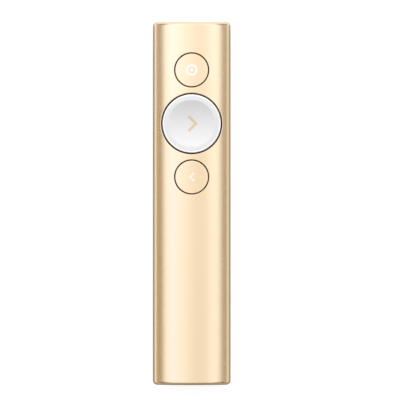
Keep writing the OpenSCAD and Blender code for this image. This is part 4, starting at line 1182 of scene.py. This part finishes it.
# %% The leads' tree
lead = Tree("lead", "Radius", "Bend", paint="Insulation")
add, given = lead.add, lead.given
soft_path = add("FilletCurve", {"Curve": given["Geometry"], "Radius": given["Bend"], "Count": 8},
                mode="POLY")
section = add("CurvePrimitiveCircle", {"Resolution": 20, "Radius": given["Radius"]})
swept = add("CurveToMesh", {"Curve": soft_path, "Profile Curve": section, "Fill Caps": True})
smooth = add("SetShadeSmooth", {"Geometry": add("RealizeInstances", {"Geometry": swept})})
lead.close(add("SetMaterial", {"Geometry": smooth, "Material": given["Insulation"]}))

# %% The leads on their paths
def path_of(*routes):
    """A curve with one open path for each route of corners."""
    curve = bpy.data.curves.new("route", "CURVE")
    curve.dimensions = "3D"
    for route in routes:
        spline = curve.splines.new("POLY")
        spline.points.add(len(route) - 1)
        for point, corner in zip(spline.points, route):
            point.co = (*map(float, corner), 1.0)
    return curve


guard_y, lead_level, turn_y, board_low = 5.2, -2.248, 7.6, -0.8
lead_x = 1.2
for name, x, paint in (("battery_lead_positive", lead_x, "lead_red"),
                       ("battery_lead_negative", -lead_x, "lead_black")):
    route = [(x, guard_y, lead_level), (x, turn_y, lead_level), (x, turn_y, board_low)]
    grown(name + "_wire", path_of(route), lead,
          {"Radius": 0.4, "Bend": 0.9, "Insulation": finishes[paint]}, paint, "body", name)
can_x, can_y, lead_end_y, wire_z, wire_y = -5.5, 57.9, 52.9, 0.35, 0.7
near_x, far_x = -6.2, -7.1                     # where the motor's two wires turn to the board
routes = [[(can_x, y, wire_z), (x, y, wire_z), (x, lead_end_y, wire_z)]
          for x, y in ((near_x, can_y - wire_y), (far_x, can_y + wire_y))]
grown("motor_wires", path_of(*routes), lead,
      {"Radius": 0.35, "Bend": 0.6, "Insulation": finishes["lead_red"]}, "lead_red", "body",
      "motor_leads")

# %% [markdown]
# ## Little parts on the board
#
# Resistors and capacitors are ceramic blocks with tinned ends, and the antenna is a longer block
# of the same make. One tree builds such a block between two end caps and puts it at every mark.

# %% The tree of a block with tinned ends
block_tree = Tree("tinned_block", "Length", "Width", "Height", "End", "Turn", paint="Ceramic")
add, calc, vector, given = block_tree.add, block_tree.calc, block_tree.vector, block_tree.given
slimmer = 0.94                                 # the ceramic's share of the tinned ends' thickness
middle_l = calc("SUBTRACT", given["Length"], given["End"])
thin_w, thin_h = (calc("MULTIPLY", given[size], slimmer) for size in ("Width", "Height"))
core = add("MeshCube", {"Size": vector(middle_l, thin_w, thin_h)})
cap = add("MeshCube", {"Size": vector(given["End"], given["Width"], given["Height"])})
cap = add("StoreNamedAttribute", {"Geometry": cap, "Name": "tinned", "Value": True},
          data_type="BOOLEAN", domain="FACE")
caps = [add("Transform", {"Geometry": cap, "Translation": vector(calc("MULTIPLY", middle_l, side))})
        for side in (-0.5, 0.5)]
joined = add("JoinGeometry", {"Geometry": [core, *caps]})
half_height = calc("MULTIPLY", given["Height"], 0.5)
standing = add("Transform", {"Geometry": joined, "Rotation": vector(z=given["Turn"]),
                             "Translation": vector(z=half_height)})
real = block_tree.at_marks(standing)
tinned = add("InputNamedAttribute", {"Name": "tinned"}, data_type="BOOLEAN")
real = add("SetMaterial", {"Geometry": real, "Material": given["Ceramic"]})
real = add("SetMaterial", {"Geometry": real, "Selection": tinned, "Material": shield_tin})
block_tree.close(add("RemoveAttribute", {"Geometry": real, "Name": "tinned"}))

# %% Passives and the antenna
shield_y, shield_gap, charger_x, charger_y = -14.675, 6.7, 7.31, -33.7
pitch, row_gap = 1.9, 1.2                      # between parts of a row, and between rows
rows = [(0, shield_y + shield_gap, 5), (0, shield_y - shield_gap, 5),
        *[(-charger_x, charger_y + y, 2) for y in (row_gap, 0.0, -row_gap)]]
spots = [(x + (k - (count - 1) / 2) * pitch, y, 0.0) for x, y, count in rows for k in range(count)]
antenna_spots = [(-7.4, pointer_y, 0.0)]
chip_sizes = {"Length": 1.0, "Width": 0.5, "Height": 0.5, "End": 0.24, "Turn": 0.0}
antenna_sizes = {"Length": 9.0, "Width": 2.0, "Height": 1.0, "End": 0.5, "Turn": math.pi / 2}
for name, places, sizes, paint, node in (
        ("passives", spots, chip_sizes, "component_tan", "small_components"),
        ("antenna_block", antenna_spots, antenna_sizes, "antenna_ceramic", "antenna")):
    grown(name, marks_at(places), block_tree, {**sizes, "Ceramic": finishes[paint]}, paint, "body",
          node)

# %% [markdown]
# ## The charging port's contacts
#
# Twelve gold pads lie on each face of the port's tongue, half a millimetre apart. A tree for rows
# is enough: a line of points, a thin pad on each, and a second row turned over for the underside.

# %% The port's contacts
pads = Tree("contact_row", "Pitch", "Pad Width", "Pad Length", "Tongue")
add, calc, vector, given = pads.add, pads.calc, pads.vector, pads.given
pad_count, pad_t, port_y = 12, 0.04, -35.2
line = add("MeshLine", {"Count": pad_count, "Offset": vector(given["Pitch"])})
line = add("Transform", {"Geometry": line, "Translation": vector(
    calc("MULTIPLY", given["Pitch"], -(pad_count - 1) / 2), 0.0,
    calc("MULTIPLY", given["Tongue"], 0.5))})
pad = add("MeshCube", {"Size": vector(given["Pad Width"], given["Pad Length"], pad_t)})
row = add("InstanceOnPoints", {"Points": line, "Instance": pad})
under = add("Transform", {"Geometry": row, "Rotation": vector(y=math.pi)})
real = pads.at_marks(add("JoinGeometry", {"Geometry": [row, under]}))
pads.close(add("SetMaterial", {"Geometry": real, "Material": contact_gold}))
grown("port_contacts", marks_at([(0.0, port_y, 0.0)]), pads,
      {"Pitch": 0.5, "Pad Width": 0.26, "Pad Length": 3.2, "Tongue": 0.7}, "contact_gold", "body")

# %% [markdown]
# ## Finishes for the parts that keep their CAD shape
#
# The chassis, the key frame, the boards, the switches and the rest of the inside have their right
# shape already. Each takes the finish of its own material slot.

# %% Finishes by slot
for node in frame["nodes"].values():
    for slot in node.material_slots:
        slot.material = finishes[slot.material.name.split(".")[0].removesuffix("_finish")]
print(len(frame["nodes"]), "nodes of the frame have a finish")

# %% [markdown]
# ## Floor, lamps and world
#
# The clicker lies on a wide pale floor. A product studio hangs large soft panels over such an
# object. The tube's crown mirrors whatever is overhead, so each panel's edge becomes a line of
# shade along the tube, and the gap between two panels a soft darker band along its middle.

# %% The floor's sheet
floor_mesh = bpy.data.meshes.new("floor")
floor_reach = 9.0
corners = [(x * floor_reach, y * floor_reach, 0) for x, y in ((-1, -1), (1, -1), (1, 1), (-1, 1))]
floor_mesh.from_pydata(corners, [], [(0, 1, 2, 3)])
floor = bpy.data.objects.new("floor", floor_mesh)
bpy.context.scene.collection.objects.link(floor)
floor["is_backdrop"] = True
paint = bpy.data.materials.new("floor_paint")
paint.use_nodes = True
tree = paint.node_tree
shader = tree.nodes["Principled BSDF"].inputs
for socket, value in {"Base Color": (0.25, 0.25, 0.25, 1), "Roughness": 0.9,
                      "Specular IOR Level": 0.0, "Emission Strength": 1.0}.items():
    shader[socket].default_value = value
floor_mesh.materials.append(paint)
print("the floor is", 2 * floor_reach, "m wide")

# %% [markdown]
# The floor glows where the camera sees it, so that it is pale without more light on the clicker.
# The metal sees a part of that glow, with painted shade and light in it: a painted shadow right
# beside the tube, where its own shadow would be, more glow further out, and a painted pool of
# light past the nose.

# %% The floor's glow
def fade(source, start, end, near, far):
    """A colour that goes from near to far as a value goes from start to end."""
    share = add_node(tree, "ShaderNodeMapRange", {
        "Value": source, "From Min": start, "From Max": end}).outputs["Result"]
    near, far = ((*colour, 1) if isinstance(colour, tuple) else colour for colour in (near, far))
    return add_node(tree, "ShaderNodeMix", {"Factor": share, "A": near, "B": far},
                    data_type="RGBA").outputs["Result"]


path = add_node(tree, "ShaderNodeLightPath").outputs
seen = add_node(tree, "ShaderNodeMath", {
    0: path["Is Camera Ray"], 1: path["Is Transmission Ray"]}, operation="MAXIMUM").outputs[0]
place = add_node(tree, "ShaderNodeTexCoord").outputs["Object"]
split = add_node(tree, "ShaderNodeSeparateXYZ", {0: place}).outputs
aside = add_node(tree, "ShaderNodeMath", {0: split["X"]}, operation="ABSOLUTE").outputs[0]
shade_x, clear_x = 0.022, 0.050                # from the tube's middle, in metres
nose_y, clear_y = 0.063, 0.075
# Of these, the colour beside the tube is a painted shadow and the one past the nose a painted pool
# of light; the metal sees both in reflections.
shaded, clear, ahead = (0.05, 0.01, 0.0), (0.48, 0.43, 0.32), (0.74, 0.74, 0.74)
unseen, pale = (0.0, 0.0, 0.0), (0.82, 0.82, 0.82)
beside = fade(aside, shade_x, clear_x, shaded, clear)
mirrored = fade(split["Y"], nose_y, clear_y, beside, ahead)
seen_glow = fade(seen, 0.0, 1.0, unseen, pale)
glow = fade(path["Is Glossy Ray"], 0.0, 1.0, seen_glow, mirrored)
tree.links.new(glow, shader["Emission Color"])
print("the floor's finish has", len(tree.nodes), "nodes")

# %% [markdown]
# Each lamp is a soft panel. Most of them hang flat over the tube and are given by the angles that
# they span, seen from the tube, because an angle on the crown's mirror is a stripe on the crown.
# Cool and warm panels overlap where a stripe changes its tone. Upright panels light the tube's
# sides, and cards ahead of it and behind it light its ends.

# %% Kinds of lamps
side_l, card_w, card_tilt = 4.4, 4.0, 71
white = (1, 1, 1)
cool, warm, amber, orange, blue = ((0.75, 1.0, 1.45), (0.97, 0.88, 0.77), (1.0, 0.85, 0.25),
                                   (1.0, 0.6, 0.15), (0.1, 0.1, 1.0))


def panel(name, place, turn, width, length, radiance, tint=white):
    """A soft panel that shines along its own -Z; radiance is how bright its face looks."""
    data = bpy.data.lights.new(name, "AREA")
    data.shape, data.size, data.size_y, data.color = "RECTANGLE", width, length, tint
    data.energy = radiance * width * length * math.pi
    lamp = bpy.data.objects.new(name, data)
    lamp.location = place
    lamp.rotation_euler = [math.radians(t) for t in turn]
    lamp.visible_camera = False
    bpy.context.scene.collection.objects.link(lamp)
    return lamp


def overhead(name, start, end, radiance, height, tint=white, low=-3.4, high=4.0):
    """A panel flat over the tube, between two angles from straight up, towards +X."""
    x0, x1 = (height * math.tan(math.radians(a)) for a in (start, end))
    middle = ((x0 + x1) / 2, (low + high) / 2, height)
    panel(name, middle, (0, 0, 0), x1 - x0, high - low, radiance, tint)


def upright(name, x, height, radiance, tint):
    """A panel that stands beside the tube and looks at it."""
    turn = (0, math.copysign(90, x), 0)
    panel(name, (x, 0.0, height / 2), turn, height, side_l, radiance, tint)


def card(name, y, level, length, radiance, tint=white):
    """A leaning panel ahead of the nose or behind the tail, which looks at the tube."""
    turn = (-math.copysign(card_tilt, y), 0, 0)
    return panel(name, (0.0, y, level), turn, card_w, length, radiance, tint)

# %% Lamps over the tube: a name, two angles, a brightness, a height and a tint
overhead("scrim", -50.5, 52, 0.76, 2.30)
overhead("scrim_front", -50.5, 52, 0.12, 2.28, low=0.0)
stripes = [("scrim_left", -40, 2, 0.11, 2.26, cool), ("scrim_mid_left", -46, -12, 0.11, 2.22, cool),
           ("scrim_far_left", -50.5, -32, 0.10, 2.18, cool),
           ("scrim_blue_left", -41, -24, 0.18, 2.16, blue),
           ("scrim_edge_left", -50.5, -41, 0.13, 2.16, amber),
           ("gap_left", -64, -50.5, 0.10, 2.16, orange),
           ("scrim_right", 25, 54, 0.11, 2.24, cool),
           ("scrim_far_right", 34, 44.5, 0.20, 2.20, cool),
           ("scrim_edge_right", 44.5, 51, 0.12, 2.20, amber),
           ("gap_right", 52, 64, 0.06, 2.16, orange)]
for stripe in stripes:
    overhead(*stripe)
print(len(stripes), "stripes of light on the crown")

# %% Lamps beside, ahead and behind: a name, a place, a size, a brightness and a tint
uprights = [("low_left", -2.8, 1.44, 0.76, warm), ("low_right", 2.8, 1.52, 0.64, warm),
            ("strip_left", -2.7, 0.52, 0.40, (0.38, 0.76, 1.0)),
            ("strip_right", 2.7, 0.52, 0.37, (0.30, 0.72, 1.0))]
for one in uprights:
    upright(*one)
overhead("scrim_nose", -60, 60, 0.10, 0.26, cool, low=0.045, high=0.5)
card("card_front", 3.02, 0.80, 1.7, 0.95)
card("card_back", -3.02, 0.80, 1.7, 0.2, warm)
card("key", 3.0, 0.95, 1.3, 6.4).visible_glossy = False            # for the white parts only
print("lamps:", len(bpy.data.lights))

# %% The world and how colours are shown
world = bpy.data.worlds.new("studio")
world.use_nodes = True
background = world.node_tree.nodes["Background"].inputs
background["Color"].default_value = (1.0, 0.87, 0.68, 1)
background["Strength"].default_value = 0.13
bpy.context.scene.world = world
bpy.context.scene.view_settings.view_transform = "Standard"
print("colours are shown as", bpy.context.scene.view_settings.view_transform)

# %% The visual box
low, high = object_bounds()
print("visual box in mm:", [round(v * 1000, 2) for v in (*low, *high)])
